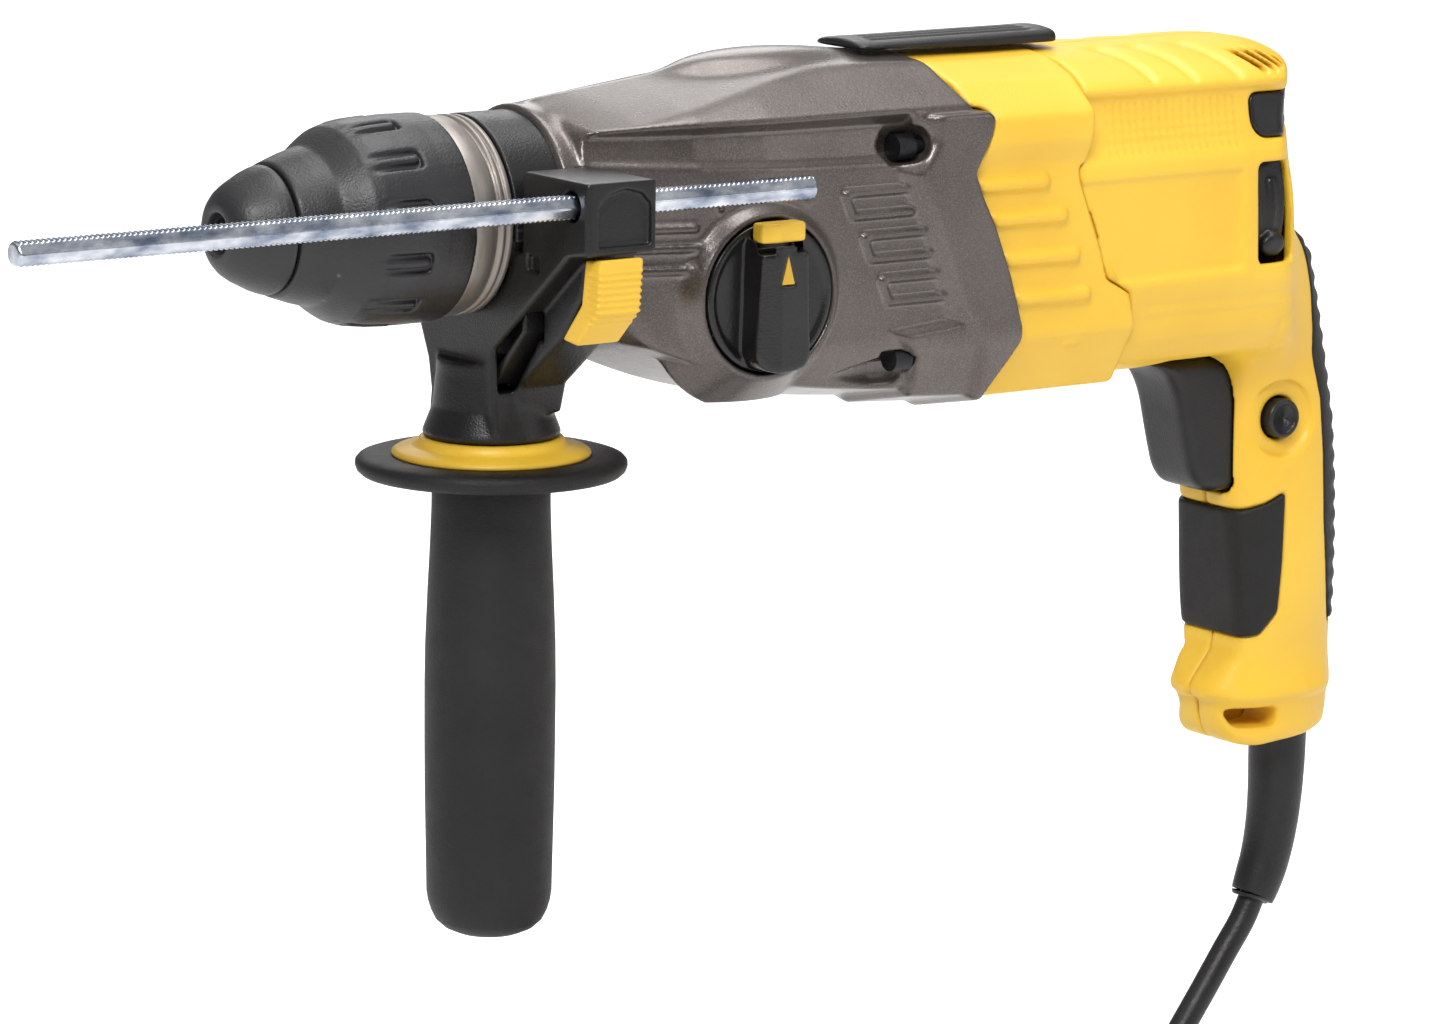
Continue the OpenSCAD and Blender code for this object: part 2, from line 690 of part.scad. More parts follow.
module commutator() place() color(copper) difference() {
    bar(297, 312, 11.5, motor_z);
    bar(296, 313, 5.62, motor_z);
    for (a = [0 : 15 : 359]) translate([0, 0, motor_z]) rotate([a, 0, 0])
        translate([296, -0.3, 10.6]) cube([17, 0.6, 2]);
}

module cooling_fan() place() color("#4a4d52") difference() {
    union() {
        ring(224, 226, 5.62, 28, motor_z);
        ring(224, 229.4, 5.62, 9, motor_z);
        for (a = [0 : 20 : 359]) translate([0, 0, motor_z]) rotate([a, 0, 0])
            translate([225.5, 8, -0.6]) cube([3.9, 19.5, 1.2]);
    }
    bar(223, 231, 5.62, motor_z);
}

// The plate turns about the motor axis to reverse the motor
brush_angle = 17;
module about_motor(angle) translate([0, 0, motor_z]) rotate([angle, 0, 0]) children();

module brush_plate() place() color("#35373b") about_motor(brush_angle) difference() {
    union() {
        ring(313, 316, 13.4, 21.4);
        for (s = [-1, 1]) translate([302, -4.2, s * 17.5 - 4.2]) cube([12, 8.4, 8.4]);
        // lever that reaches the left side window
        translate([313.5, -29.5, -4]) cube([6.5, 9.5, 8]);
        translate([313.5, -30, -4]) cube([12, 3.5, 8]);
        translate([320.5, -33.6, -3.5]) cube([5, 5, 7]);
    }
    for (s = [-1, 1]) translate([303.5, -3.1, s * 17.5 - 8]) cube([9, 6.2, 16]);
}

module carbon_brushes() place() color("#2f3033") for (a = [0, 180])
    about_motor(brush_angle + a) translate([303.6, -3, 11.7]) cube([8.8, 6, 9.9]);

// ---- hand controls ----

module trigger() place() color(rubber) union() {
    side(-11, 11) polygon([[309, -57.4], [326, -57.4], [329, -62], [329, -93], [325, -95.6],
        [318, -95.6], [316, -91], [313, -78], [309.5, -66], [304, -59.5]]);
    bar(328, 346, 2, -84);
}

module lock_button() place() color(rubber) difference() {
    union() {
        cross_pin(lock_x, lock_z, -17.6, -12, 5.6);
        cross_pin(lock_x, lock_z, -12.5, -1, 2.5);
    }
    cross_pin(lock_x, lock_z, -19, -17, 4.2);
}

module mode_knob() place() color(rubber) difference() {
    union() {
        cross_pin(knob_x, knob_z, knob_face_y, -31.7, knob_r);
        cross_pin(knob_x, knob_z, -32, -25.2, 9);
        translate([knob_x - 8.5, knob_face_y - knob_bar_h, knob_z - 19])
            cube([17, knob_bar_h + 1, 38]);
        cross_pin(knob_x, knob_z + 3.9, -26, -21.5, 2);
    }
    // slot of the lock button
    translate([knob_x - 6.2, knob_face_y - knob_bar_h + 1.2, knob_z + 12.8])
        cube([12.4, 6.6, 8]);
    // slanted cheeks of the bar
    for (s = [-1, 1]) translate([knob_x + s * 8.5, knob_face_y - knob_bar_h, 0])
        rotate([0, 0, s * 62]) translate([-6, -6, knob_z - 30]) cube([12, 6, 60]);
}

module mode_lock_button() place() color(shell_yellow)
    translate([knob_x - 6, knob_face_y - knob_bar_h + 1.4, knob_z + 15.6]) cube([12, 6.2, 5.4]);

module shift_plate() place() color("#8f9296") difference() {
    translate([141, -24.6, -29]) cube([11.4, 2, 20]);
    translate([knob_x - 2.3, -26, -27]) cube([4.6, 5, 15.5]);
}

// ---- side handle ----

module handle_bracket() place() color(rubber) difference() {
    union() {
        // front plate with its slanted edge
        front(78, 84) polygon([[-57, 14], [-57, -4], [-48.6, -5.6], [-14, -34], [-14.5, -52],
            [-18.1, neck_z], [18.1, neck_z], [14.5, -52], [16.5, -40], [22, -28], [27.4, -8],
            [27.4, 6], [20, 6], [-20, 14]]);
        // arm and rod block behind it
        front(83.9, 98) polygon([[-57, 14], [-57, -4], [-48.5, -5], [-46.5, -17], [-37, -29],
            [-17, -45], [-18.1, neck_z], [18.1, neck_z], [14.5, -52], [16.5, -40], [22, -28],
            [27.4, -8], [27.4, 6], [20, 6], [-20, 14]]);
        translate([handle_x, 0, neck_z]) cylinder(h = 17, r1 = 18.1, r2 = 14.6);
    }
    bar(70, 110, collar_r + 0.35);
    bar(91.6, 110, 28.8);
    // open the saddle upwards
    front(70, 110) polygon([[-24.35, 0], [24.35, 0], [24.35, 40], [-24.35, 40]]);
    // channels for the strap
    for (s = [-1, 1]) translate([strap_x[0] - 1, s * 26.05 - 1.95, -30]) cube([18.4, 3.9, 62]);
    translate([strap_x[0] - 1, -26.2, -46]) cube([18.4, 52.4, 22]);
    translate([handle_x, 0, neck_z - 1]) cylinder(h = 20, r = 4.3);
    // rod passage
    bar(70, 110, rod_w / 2 + 0.85, rod_z, rod_y);
    // panel on the left face
    translate([82, -58, -1.5]) cube([13, 1.6, 12.5]);
}

module clamp_strap() place() color("#26272a") {
    difference() {
        bar(strap_x[0], strap_x[1], 26);
        bar(strap_x[0] - 1, strap_x[1] + 1, collar_r + 0.3);
        front(70, 95) polygon([[-30, 0], [30, 0], [30, -30], [-30, -30]]);
    }
    difference() {
        for (s = [-1, 1]) front(strap_x[0], strap_x[1]) polygon([[s * 24.3, 0], [s * 26, 0],
            [s * 26, -28], [s * 12, -43.5], [0, -43.5], [0, -41], [s * 11, -41],
            [s * 24.3, -27.5]]);
        translate([handle_x, 0, -50]) cylinder(h = 20, r = 4.05);
    }
}

module clamp_bolt() place() color(steel) {
    translate([handle_x, 0, -41]) cylinder(h = 3, r = 5.4, $fn = 6);
    translate([handle_x, 0, -90]) cylinder(h = 49.1, r = 4);
}

module handle_grip() place() color(rubber) translate([handle_x, 0, 0])
    rotate_extrude() polygon([[4.6, -69.2], [15.5, -69.2],
        [15.7, -78], [16.6, -100], [side_grip_r, -125], [17.2, -150], [16.7, -175],
        [16.4, -185], [15, -190], [9, -69.2 - side_grip_len], [4.6, -69.2 - side_grip_len]]);

module hand_guard() place() color(rubber) translate([handle_x, 0, 0]) rotate_extrude()
    polygon([[4.6, -64], [25.8, -64], [34, -64.4], [guard_r, -66], [guard_r, -67.2],
        [34, -69.2], [4.6, -69.2]]);

module guard_ring() place() color(shell_yellow) translate([handle_x, 0, 0]) rotate_extrude()
    polygon([[4.6, -59.1], [18.6, -59.1], [19.4, -61], [26, -62.6], [26, -64], [4.6, -64]]);

module depth_rod() place() color("#d9dde2") difference() {
    translate([rod_x0, rod_y, rod_z]) rotate([0, 90, 0]) rotate(30)
        cylinder(h = rod_len, r = rod_w / 2 + 0.45, $fn = 6);
    for (s = [-1, 1], i = [0 : 58]) translate([rod_x0 + 2 + i * 4, rod_y - 4,
        rod_z + s * 3.5]) rotate([0, 45, 0]) translate([-0.4, 0, -0.4]) cube([0.8, 8, 0.8]);
}

module depth_button() place() color(shell_yellow) front(80, 93.5) polygon([[-58, -5.6],
    [-51.2, -6.2], [-49.6, -17.8], [-41, -28], [-47.5, -28.4], [-57, -19]]);

gear_housing();
bearing_flange();
motor_housing();
handle_shell_left();
handle_shell_right();
back_grip_pad();
palm_pad();
rear_grille();
top_strip();
housing_screws();
case_screws();
spindle_bearing();
spindle_seal();
shaft_bearings();
rotor_bearings();
stator_core();
field_coils();
switch_body();
suppressor();
cord_clamp();
strain_relief();
cord_lead();
cord_coil();
cord_tie();
plug_body();
plug_pins();
tool_spindle();
spindle_gear();
clutch_spring();
dust_cap();
locking_balls();
sleeve_spring();
locking_sleeve();
change_ring();
counter_shaft();
counter_gear();
wobble_hub();
wobble_ring();
piston();
striker();
impact_bolt();
rotor_shaft();
rotor_core();
commutator();
cooling_fan();
brush_plate();
carbon_brushes();
trigger();
lock_button();
mode_knob();
mode_lock_button();
shift_plate();
handle_bracket();
clamp_strap();
clamp_bolt();
handle_grip();
hand_guard();
guard_ring();
depth_rod();
depth_button();
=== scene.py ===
import json
import math
import bpy
import numpy as np
import openvdb
from mathutils import Matrix, Vector


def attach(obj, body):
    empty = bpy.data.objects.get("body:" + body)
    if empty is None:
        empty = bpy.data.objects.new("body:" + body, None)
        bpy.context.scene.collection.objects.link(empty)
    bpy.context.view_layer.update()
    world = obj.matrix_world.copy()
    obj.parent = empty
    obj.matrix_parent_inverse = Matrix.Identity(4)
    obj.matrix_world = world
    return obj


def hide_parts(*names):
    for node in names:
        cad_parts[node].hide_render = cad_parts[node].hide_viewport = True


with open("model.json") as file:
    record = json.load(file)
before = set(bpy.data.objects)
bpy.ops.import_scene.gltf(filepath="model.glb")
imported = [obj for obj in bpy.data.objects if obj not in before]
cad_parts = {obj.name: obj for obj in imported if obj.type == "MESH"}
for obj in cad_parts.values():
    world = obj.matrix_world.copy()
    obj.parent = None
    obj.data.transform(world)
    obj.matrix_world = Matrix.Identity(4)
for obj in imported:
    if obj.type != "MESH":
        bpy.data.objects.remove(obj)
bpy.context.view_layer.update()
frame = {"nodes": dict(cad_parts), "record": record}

# Shapes are drawn in millimetres, as in the part's source: x from the nose tip, z from the
# spindle axis. The row's origin is the centre of the main grip.
GRIP_X, GRIP_Z = 353.0, -115.0
TURN = 2 * math.pi
QUICK_STEP = 1.0


def row(points):
    """Points in tool millimetres, as metres in the row frame."""
    return (np.asarray(points, float) - (GRIP_X, 0, GRIP_Z)) / 1000


def add(data, body=None, material=None, *nodes):
    """A new object named as its data. A piece rides on a body and stands for CAD nodes."""
    piece = bpy.data.objects.new(data.name, data)
    bpy.context.scene.collection.objects.link(piece)
    if material:
        data.materials.append(material)
    if body:
        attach(piece, body)
        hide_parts(*nodes)
    return piece


def mesh_of(name, points, *face_sets, smooth=True):
    """A mesh from points in tool millimetres and arrays of faces, each array of one size."""
    mesh = bpy.data.meshes.new(name)
    faces = [np.asarray(f, np.int32) for f in face_sets if len(f)]
    mesh.vertices.add(len(points))
    mesh.vertices.foreach_set("co", row(points).astype(np.float32).ravel())
    sizes = np.concatenate([np.full(len(f), f.shape[1], np.int32) for f in faces])
    mesh.loops.add(int(sizes.sum()))
    mesh.loops.foreach_set("vertex_index", np.concatenate([f.ravel() for f in faces]))
    mesh.polygons.add(len(sizes))
    starts = np.concatenate([[0], np.cumsum(sizes)[:-1]]).astype(np.int32)
    mesh.polygons.foreach_set("loop_start", starts)
    mesh.polygons.foreach_set("use_smooth", np.full(len(sizes), smooth))
    mesh.update(calc_edges=True)
    mesh.validate()
    return mesh


# ---- camera ----

# fitted to the photo: millimetres of lens and sensor, metres and degrees in the row frame
LENS, SENSOR, FAR_END = 160.7, 36, 60
HEADING, DIP, ROLL = -35.604, 10.612, 0.706
CAMERA_PLACE = (-1.1812, -1.3797, 0.3461)

camera = add(bpy.data.cameras.new("camera"))
camera.data.lens = LENS
camera.data.sensor_width = SENSOR
camera.data.clip_end = FAR_END
look = Matrix.Rotation(math.radians(HEADING), 4, "Z")
look @= Matrix.Rotation(math.radians(90 - DIP), 4, "X")
look @= Matrix.Rotation(math.radians(ROLL), 4, "Z")
look.translation = CAMERA_PLACE
camera.matrix_world = look
bpy.context.scene.camera = camera


# ---- signed distance fields ----


def smooth_min(a, b, k):
    """Union of two fields with a fillet of about k millimetres."""
    if not k:
        return np.minimum(a, b)
    h = np.maximum(k - np.abs(a - b), 0) / k
    return np.minimum(a, b) - h * h * (k / 4)


def smooth_max(a, b, k):
    """Intersection of two fields with a rounded edge of about k millimetres."""
    return -smooth_min(-a, -b, k)


def meet(field, *others):
    """Intersection of fields with sharp edges."""
    for other in others:
        field = np.maximum(field, other)
    return field


def slab(a, low, high):
    return np.maximum(low - a, a - high)


def strip(u, v, points, r=0):
    """Distance to a line through points over the grid u by v, less a radius."""
    best = np.float32(1e12)
    for (ax, ay), (bx, by) in zip(points[:-1], points[1:]):
        ex, ey = bx - ax, by - ay
        if ex == 0 and ey == 0:
            continue
        wx, wy = u - ax, v - ay
        t = np.clip((wx * ex + wy * ey) / (ex * ex + ey * ey), 0, 1)
        best = np.minimum(best, (wx - ex * t) ** 2 + (wy - ey * t) ** 2)
    return np.sqrt(best) - r


def outline(u, v, points):
    """Signed distance to a closed outline over the grid u by v; inside is negative."""
    loop = np.asarray([*points, points[0]], np.float32)
    inside = np.zeros(np.broadcast_shapes(u.shape, v.shape), bool)
    for (ax, ay), (bx, by) in zip(loop[:-1], loop[1:]):
        if by != ay:
            inside ^= ((ay > v) != (by > v)) & (u < ax + (v - ay) * (bx - ax) / (by - ay))
    away = strip(u, v, loop)
    return np.where(inside, -away, away)


def curve_through(points, n=6, closed=False):
    """Catmull-Rom points on a smooth curve through the given ones."""
    p = np.asarray(points, float)
    last = len(p) if closed else len(p) - 1
    t = np.arange(n)[:, None] / n
    out = []
    for i in range(last):
        if closed:
            a, b, c, d = (p[(i + k) % len(p)] for k in (-1, 0, 1, 2))
        else:
            b, c = p[i], p[i + 1]
            a = p[i - 1] if i else 2 * b - c
            d = p[i + 2] if i + 2 < len(p) else 2 * c - b
        out.append(0.5 * (2 * b + (c - a) * t + (2 * a - 5 * b + 4 * c - d) * t**2
                          + (3 * b - a - 3 * c + d) * t**3))
    return np.concatenate(out if closed else out + [p[-1:]])


class Solid:
    """A signed distance field over a box of tool millimetres."""

    def __init__(self, low, high, step):
        self.step = step * QUICK_STEP
        self.low = np.asarray(low, float) - 3 * self.step
        counts = np.ceil((np.asarray(high, float) + 3 * self.step - self.low) / self.step)
        axes = [(a + self.step * np.arange(int(n))).astype(np.float32)
                for a, n in zip(self.low, counts)]
        self.x = axes[0][:, None, None]
        self.y = axes[1][None, :, None]
        self.z = axes[2][None, None, :]
        self.d = np.full([len(a) for a in axes], 99, np.float32)

    def window(self, low, high):
        """The same field over a smaller box, sharing its values."""
        part = object.__new__(Solid)
        part.step = self.step
        cut = []
        for name, a, b in zip("xyz", low, high):
            values = getattr(self, name)
            flat = values.ravel()
            piece = slice(int(np.searchsorted(flat, a)), int(np.searchsorted(flat, b)))
            index = [slice(None)] * 3
            index["xyz".index(name)] = piece
            setattr(part, name, values[tuple(index)])
            cut.append(piece)
        part.d = self.d[tuple(cut)]
        return part

    def join(self, field, k=0):
        self.d[...] = smooth_min(self.d, field, k)
        return self

    def keep(self, field, k=0):
        self.d[...] = smooth_max(self.d, field, k)
        return self

    def cut(self, field, k=0):
        return self.keep(-field, k)

    def side(self, points, y0=-99, y1=99):
        """An outline of (x, z) points, drawn along y."""
        flat = outline(self.x[:, 0], self.z[0], points)[:, None, :]
        return np.maximum(flat, slab(self.y, y0, y1)) if y0 > -99 else flat

    def front(self, points, x0=-99, x1=999):
        """An outline of (y, z) points, drawn along x."""
        flat = outline(self.y[0], self.z[0], points)[None]
        return np.maximum(flat, slab(self.x, x0, x1)) if x0 > -99 else flat

    def plan(self, points, z0=-999, z1=99):
        """An outline of (x, y) points, drawn along z."""
        flat = outline(self.x[:, :, 0], self.y[:, :, 0], points)[:, :, None]
        return np.maximum(flat, slab(self.z, z0, z1)) if z0 > -999 else flat

    def line(self, points, r):
        """A line through (x, z) points with a radius, drawn along y."""
        return strip(self.x[:, 0], self.z[0], points, r)[:, None, :]

    def bar(self, x0, x1, r, z=0, y=0):
        return np.maximum(np.hypot(self.y - y, self.z - z) - r, slab(self.x, x0, x1))

    def pin(self, x, z, y0, y1, r):
        return np.maximum(np.hypot(self.x - x, self.z - z) - r, slab(self.y, y0, y1))

    def post(self, x, y, z0, z1, r):
        return np.maximum(np.hypot(self.x - x, self.y - y) - r, slab(self.z, z0, z1))

    def block(self, low, high, r=0):
        """A box with edges rounded to r."""
        q = [slab(a, b + r, c - r) for a, b, c in zip((self.x, self.y, self.z), low, high)]
        out = sum(np.maximum(a, 0) ** 2 for a in q)
        return np.sqrt(out) + np.minimum(meet(*q), 0) - r

    def turned(self, points, z=0, y=0):
        """A turned solid about the x direction, from points (radius, x)."""
        reach = float(np.hypot(np.abs(self.y - y).max(), np.abs(self.z - z).max())) + 1
        radii = np.arange(0, reach, self.step / 2, dtype=np.float32)
        columns = outline(radii[:, None], self.x[:, 0, 0][None], points).T
        r = np.hypot(self.y - y, self.z - z)[0] / (self.step / 2)
        i = np.minimum(r.astype(int), len(radii) - 2)
        f = (r - i).astype(np.float32)[None]
        return columns[:, i] * (1 - f) + columns[:, i + 1] * f

    def soften(self, passes=1):
        """Rounds every edge by about a step a pass, and leaves flat faces where they are."""
        for _ in range(passes):
            for axis in range(3):
                a = np.moveaxis(self.d, axis, 0)
                a[1:-1] = (a[:-2] + 2 * a[1:-1] + a[2:]) / 4
        return self

    def mesh(self, name, mirror=False):
        """A mesh of the surface, mirrored in y where asked."""
        limit = 4 * self.step
        grid = openvdb.FloatGrid(limit)
        grid.copyFromArray(np.clip(self.d, -limit, limit))
        points, triangles, quads = grid.convertToPolygons(isovalue=0.0, adaptivity=0.0)
        points = points * self.step + self.low
        if mirror:
            points[:, 1] *= -1
            return mesh_of(name, *whole_parts(points, triangles, quads))
        return mesh_of(name, *whole_parts(points, triangles[:, ::-1], quads[:, ::-1]))


def whole_parts(points, triangles, quads):
    """Leaves out loose crumbs of less than a hundredth of the faces."""
    label = np.arange(len(points))
    edges = np.concatenate([quads[:, [0, 1]], quads[:, [1, 2]], quads[:, [2, 3]],
                            triangles[:, [0, 1]], triangles[:, [1, 2]]])
    while True:
        low = np.minimum(label[edges[:, 0]], label[edges[:, 1]])
        new = label.copy()
        np.minimum.at(new, edges[:, 0], low)
        np.minimum.at(new, edges[:, 1], low)
        new = new[new]
        if (new == label).all():
            break
        label = new
    counts = np.bincount(label, minlength=len(points))
    kept = counts[label] > 0.01 * len(points)
    index = np.cumsum(kept) - 1
    triangles = triangles[kept[triangles[:, 0]]]
    quads = quads[kept[quads[:, 0]]]
    return points[kept], index[triangles], index[quads]


def turned_faces(profile, segments, axis_point, direction):
    """Points and faces turned from (radius, along) about a line in tool millimetres."""
    profile = np.asarray(profile, float)
    d = np.asarray(direction, float)
    d /= np.linalg.norm(d)
    s = np.cross(d, (0.0, 1.0, 0.0) if abs(d[1]) < 0.9 else (1.0, 0.0, 0.0))
    s /= np.linalg.norm(s)
    u = np.cross(d, s)
    a = np.arange(segments) * TURN / segments
    around = np.cos(a)[:, None] * s + np.sin(a)[:, None] * u
    points = (np.asarray(axis_point, float) + profile[:, None, 1:2] * d
              + profile[:, None, 0:1] * around[None])
    return points.reshape(-1, 3), ring_faces(len(profile), segments, True)


def lathe(name, *turning):
    return mesh_of(name, *turned_faces(*turning))


def ring_faces(rows, columns, closed_profile=False):
    """Quads between rows of points that each go all the way round."""
    i = np.arange(rows if closed_profile else rows - 1)[:, None]
    k = np.arange(columns)[None]
    a = i * columns + k
    b = i * columns + (k + 1) % columns
    c = ((i + 1) % rows) * columns + (k + 1) % columns
    d = ((i + 1) % rows) * columns + k
    return np.stack([a, b, c, d], -1).reshape(-1, 4)


def rounded(points, r, n=4):
    """A closed outline with its corners rounded to at most r."""
    p = np.asarray(points, float)
    out = []
    for i in range(len(p)):
        a, b, c = p[i - 1], p[i], p[(i + 1) % len(p)]
        la, lc = np.linalg.norm(a - b), np.linalg.norm(c - b)
        reach = min(r, 0.45 * la, 0.45 * lc)
        s, e = b + (a - b) / la * reach, b + (c - b) / lc * reach
        t = np.linspace(0, 1, n)[:, None]
        out.append((1 - t) ** 2 * s + 2 * t * (1 - t) * b + t * t * e)
    return np.concatenate(out)


# ---- materials ----


def shader(name):
    made = bpy.data.materials.new(name)
    made.use_nodes = True
    return made, made.node_tree.nodes, made.node_tree.links


def surface(name, dark, light, rough, metal=0.0, grain=(900, 0.0), blotch=40, spread=0.08,
            flakes=0.0, coat=0.0, sheen=0.0, edge_wear_highlight_and_crease_shade=0.0, stretch=(1, 1, 1), specular=0.5,
            bands=None, edges=(0.40, 0.48, 0.53, 0.62)):
    """A procedural finish: two tones in soft blotches, uneven gloss, fine surface grain,
    and where asked metallic flakes, edges made paler as wear and painted highlight, creases
    darkened as painted shade, a clear coat or wound bands."""
    made, nodes, links = shader(name)
    bsdf = nodes["Principled BSDF"]
    bsdf.inputs["Metallic"].default_value = metal
    bsdf.inputs["Coat Weight"].default_value = coat
    bsdf.inputs["Coat Roughness"].default_value = 0.18
    bsdf.inputs["Sheen Weight"].default_value = sheen
    bsdf.inputs["Specular IOR Level"].default_value = specular
    where = nodes.new("ShaderNodeTexCoord")
    scaled = nodes.new("ShaderNodeMapping")
    scaled.inputs["Scale"].default_value = stretch
    links.new(where.outputs["Object"], scaled.inputs["Vector"])
    vector = scaled.outputs["Vector"]

    def noise(scale, detail=3.0):
        node = nodes.new("ShaderNodeTexNoise")
        node.inputs["Scale"].default_value = scale
        node.inputs["Detail"].default_value = detail
        links.new(vector, node.inputs["Vector"])
        return node.outputs["Fac"]

    def ramp(value, low, high, a, b):
        node = nodes.new("ShaderNodeValToRGB")
        node.color_ramp.elements[0].position = low
        node.color_ramp.elements[1].position = high
        node.color_ramp.elements[0].color = (*a, 1)
        node.color_ramp.elements[1].color = (*b, 1)
        links.new(value, node.inputs["Fac"])
        return node.outputs["Color"]

    def mixed(factor, a, b):
        node = nodes.new("ShaderNodeMix")
        node.data_type = "RGBA"
        links.new(factor, node.inputs["Factor"])
        links.new(a, node.inputs["A"])
        if isinstance(b, tuple):
            node.inputs["B"].default_value = (*b, 1)
        else:
            links.new(b, node.inputs["B"])
        return node.outputs["Result"]

    colour = ramp(noise(blotch), 0.3, 0.7, dark, light)
    if flakes:
        cells = nodes.new("ShaderNodeTexVoronoi")
        cells.inputs["Scale"].default_value = flakes
        links.new(vector, cells.inputs["Vector"])
        one = nodes.new("ShaderNodeSeparateColor")
        links.new(cells.outputs["Color"], one.inputs["Color"])
        spark = ramp(one.outputs["Red"], 0.55, 0.98, (0, 0, 0), (0.6, 0.6, 0.6))
        colour = mixed(spark, colour, tuple(min(1, c * 1.7) for c in light))
    if bands:
        wave = nodes.new("ShaderNodeTexWave")
        wave.bands_direction = bands[0]
        wave.inputs["Scale"].default_value = bands[1]
        wave.inputs["Distortion"].default_value = bands[2]
        links.new(where.outputs["Object"], wave.inputs["Vector"])
        shade = ramp(wave.outputs["Fac"], 0.1, 0.6, tuple(c * 0.4 for c in dark), light)
        colour = mixed(wave.outputs["Fac"], shade, colour)
    # convex edges (by pointiness) are paler, partly as edge wear and partly as a painted highlight;
    # creases are darkened as painted shade
    if edge_wear_highlight_and_crease_shade:
        shape = nodes.new("ShaderNodeNewGeometry")
        edge = ramp(shape.outputs["Pointiness"], *edges[2:], (0, 0, 0), (edge_wear_highlight_and_crease_shade, edge_wear_highlight_and_crease_shade, edge_wear_highlight_and_crease_shade))
        pale = tuple(c + (0.75 - c) * 0.35 for c in light)
        colour = mixed(edge, colour, pale)
        painted_crease_shade = ramp(shape.outputs["Pointiness"], *edges[:2], (0.5, 0.5, 0.5), (0, 0, 0))
        colour = mixed(painted_crease_shade, colour, tuple(c * 0.45 for c in dark))
    links.new(colour, bsdf.inputs["Base Color"])
    gloss = nodes.new("ShaderNodeMapRange")
    gloss.inputs["To Min"].default_value = rough - spread
    gloss.inputs["To Max"].default_value = rough + spread
    links.new(noise(blotch * 5), gloss.inputs["Value"])
    links.new(gloss.outputs["Result"], bsdf.inputs["Roughness"])
    bump = nodes.new("ShaderNodeBump")
    bump.inputs["Strength"].default_value = grain[1]
    bump.inputs["Distance"].default_value = 0.0004
    height = noise(grain[0], 2.0)
    links.new(height, bump.inputs["Height"])
    links.new(bump.outputs["Normal"], bsdf.inputs["Normal"])
    return made


YELLOW = surface("moulded_yellow", (0.79, 0.462, 0.030), (0.845, 0.53, 0.045), 0.42,
                 grain=(1500, 0.22), blotch=22, spread=0.07, edge_wear_highlight_and_crease_shade=0.10)
CASTING = surface("metallic_casting", (0.085, 0.071, 0.064), (0.118, 0.100, 0.091), 0.30,
                  metal=0.6, grain=(1300, 0.20), flakes=4200, coat=0.3, edge_wear_highlight_and_crease_shade=0.6,
                  edges=(0.44, 0.49, 0.512, 0.56))
BLACK = surface("black_plastic", (0.006, 0.006, 0.006), (0.011, 0.0105, 0.010), 0.36,
                grain=(1700, 0.30), edge_wear_highlight_and_crease_shade=0.10, specular=0.4)
RUBBER = surface("black_rubber", (0.007, 0.0065, 0.006), (0.012, 0.0115, 0.011), 0.55,
                 grain=(2300, 0.45), edge_wear_highlight_and_crease_shade=0.06, specular=0.35)
CAP_RUBBER = surface("cap_rubber", (0.010, 0.010, 0.011), (0.020, 0.020, 0.022), 0.42,
                     grain=(1400, 0.28), edge_wear_highlight_and_crease_shade=0.2)
SHEATH = surface("cord_sheath", (0.007, 0.007, 0.007), (0.012, 0.012, 0.012), 0.42,
                 grain=(1200, 0.30), specular=0.4)
ZINC = surface("bright_zinc", (0.17, 0.21, 0.30), (0.78, 0.81, 0.87), 0.22, metal=1.0,
               grain=(700, 0.20), blotch=230, spread=0.10, stretch=(0.5, 1, 1), edge_wear_highlight_and_crease_shade=0.3)
STEEL = surface("machined_steel", (0.42, 0.42, 0.43), (0.60, 0.60, 0.61), 0.30, metal=1.0,
                grain=(1600, 0.12), blotch=150, stretch=(1, 0.2, 0.2))
RING = surface("satin_ring", (0.20, 0.175, 0.155), (0.33, 0.295, 0.265), 0.42, metal=0.7,
               grain=(1800, 0.15), blotch=90, stretch=(4, 0.4, 0.4), edge_wear_highlight_and_crease_shade=0.5)
BLACKED = surface("phosphated_steel", (0.018, 0.018, 0.020), (0.035, 0.035, 0.038), 0.45,
                  metal=0.7, grain=(1500, 0.3), blotch=160)
GLOSSY = surface("glossy_black", (0.005, 0.005, 0.005), (0.009, 0.0085, 0.008), 0.22,
                 grain=(1700, 0.15), edge_wear_highlight_and_crease_shade=0.10)
ALLOY = surface("die_cast_alloy", (0.33, 0.33, 0.34), (0.47, 0.47, 0.48), 0.46, metal=0.85,
                grain=(900, 0.35), edge_wear_highlight_and_crease_shade=0.2)
LAMINATED = surface("laminated_steel", (0.10, 0.11, 0.13), (0.24, 0.25, 0.27), 0.42, metal=0.8,
                    grain=(1500, 0.2), bands=("X", 260, 0.2))
COPPER = surface("copper_winding", (0.42, 0.13, 0.045), (0.68, 0.26, 0.10), 0.30, metal=0.9,
                 grain=(1500, 0.25), bands=("X", 420, 1.2))
CARBON = surface("pressed_carbon", (0.02, 0.02, 0.022), (0.055, 0.055, 0.06), 0.55, metal=0.2,
                 grain=(2200, 0.5))
FOIL = surface("film_capacitor", (0.52, 0.38, 0.09), (0.66, 0.50, 0.15), 0.35, grain=(900, 0.2),
               coat=0.4)
FABRIC = surface("hook_and_loop", (0.015, 0.015, 0.016), (0.035, 0.035, 0.037), 0.9,
                 grain=(3200, 1.0), sheen=0.4, blotch=300)
FLOOR = surface("pale_floor", (0.80, 0.80, 0.80), (0.82, 0.82, 0.82), 0.85, grain=(30, 0.02),
                blotch=1.5, specular=0.2)
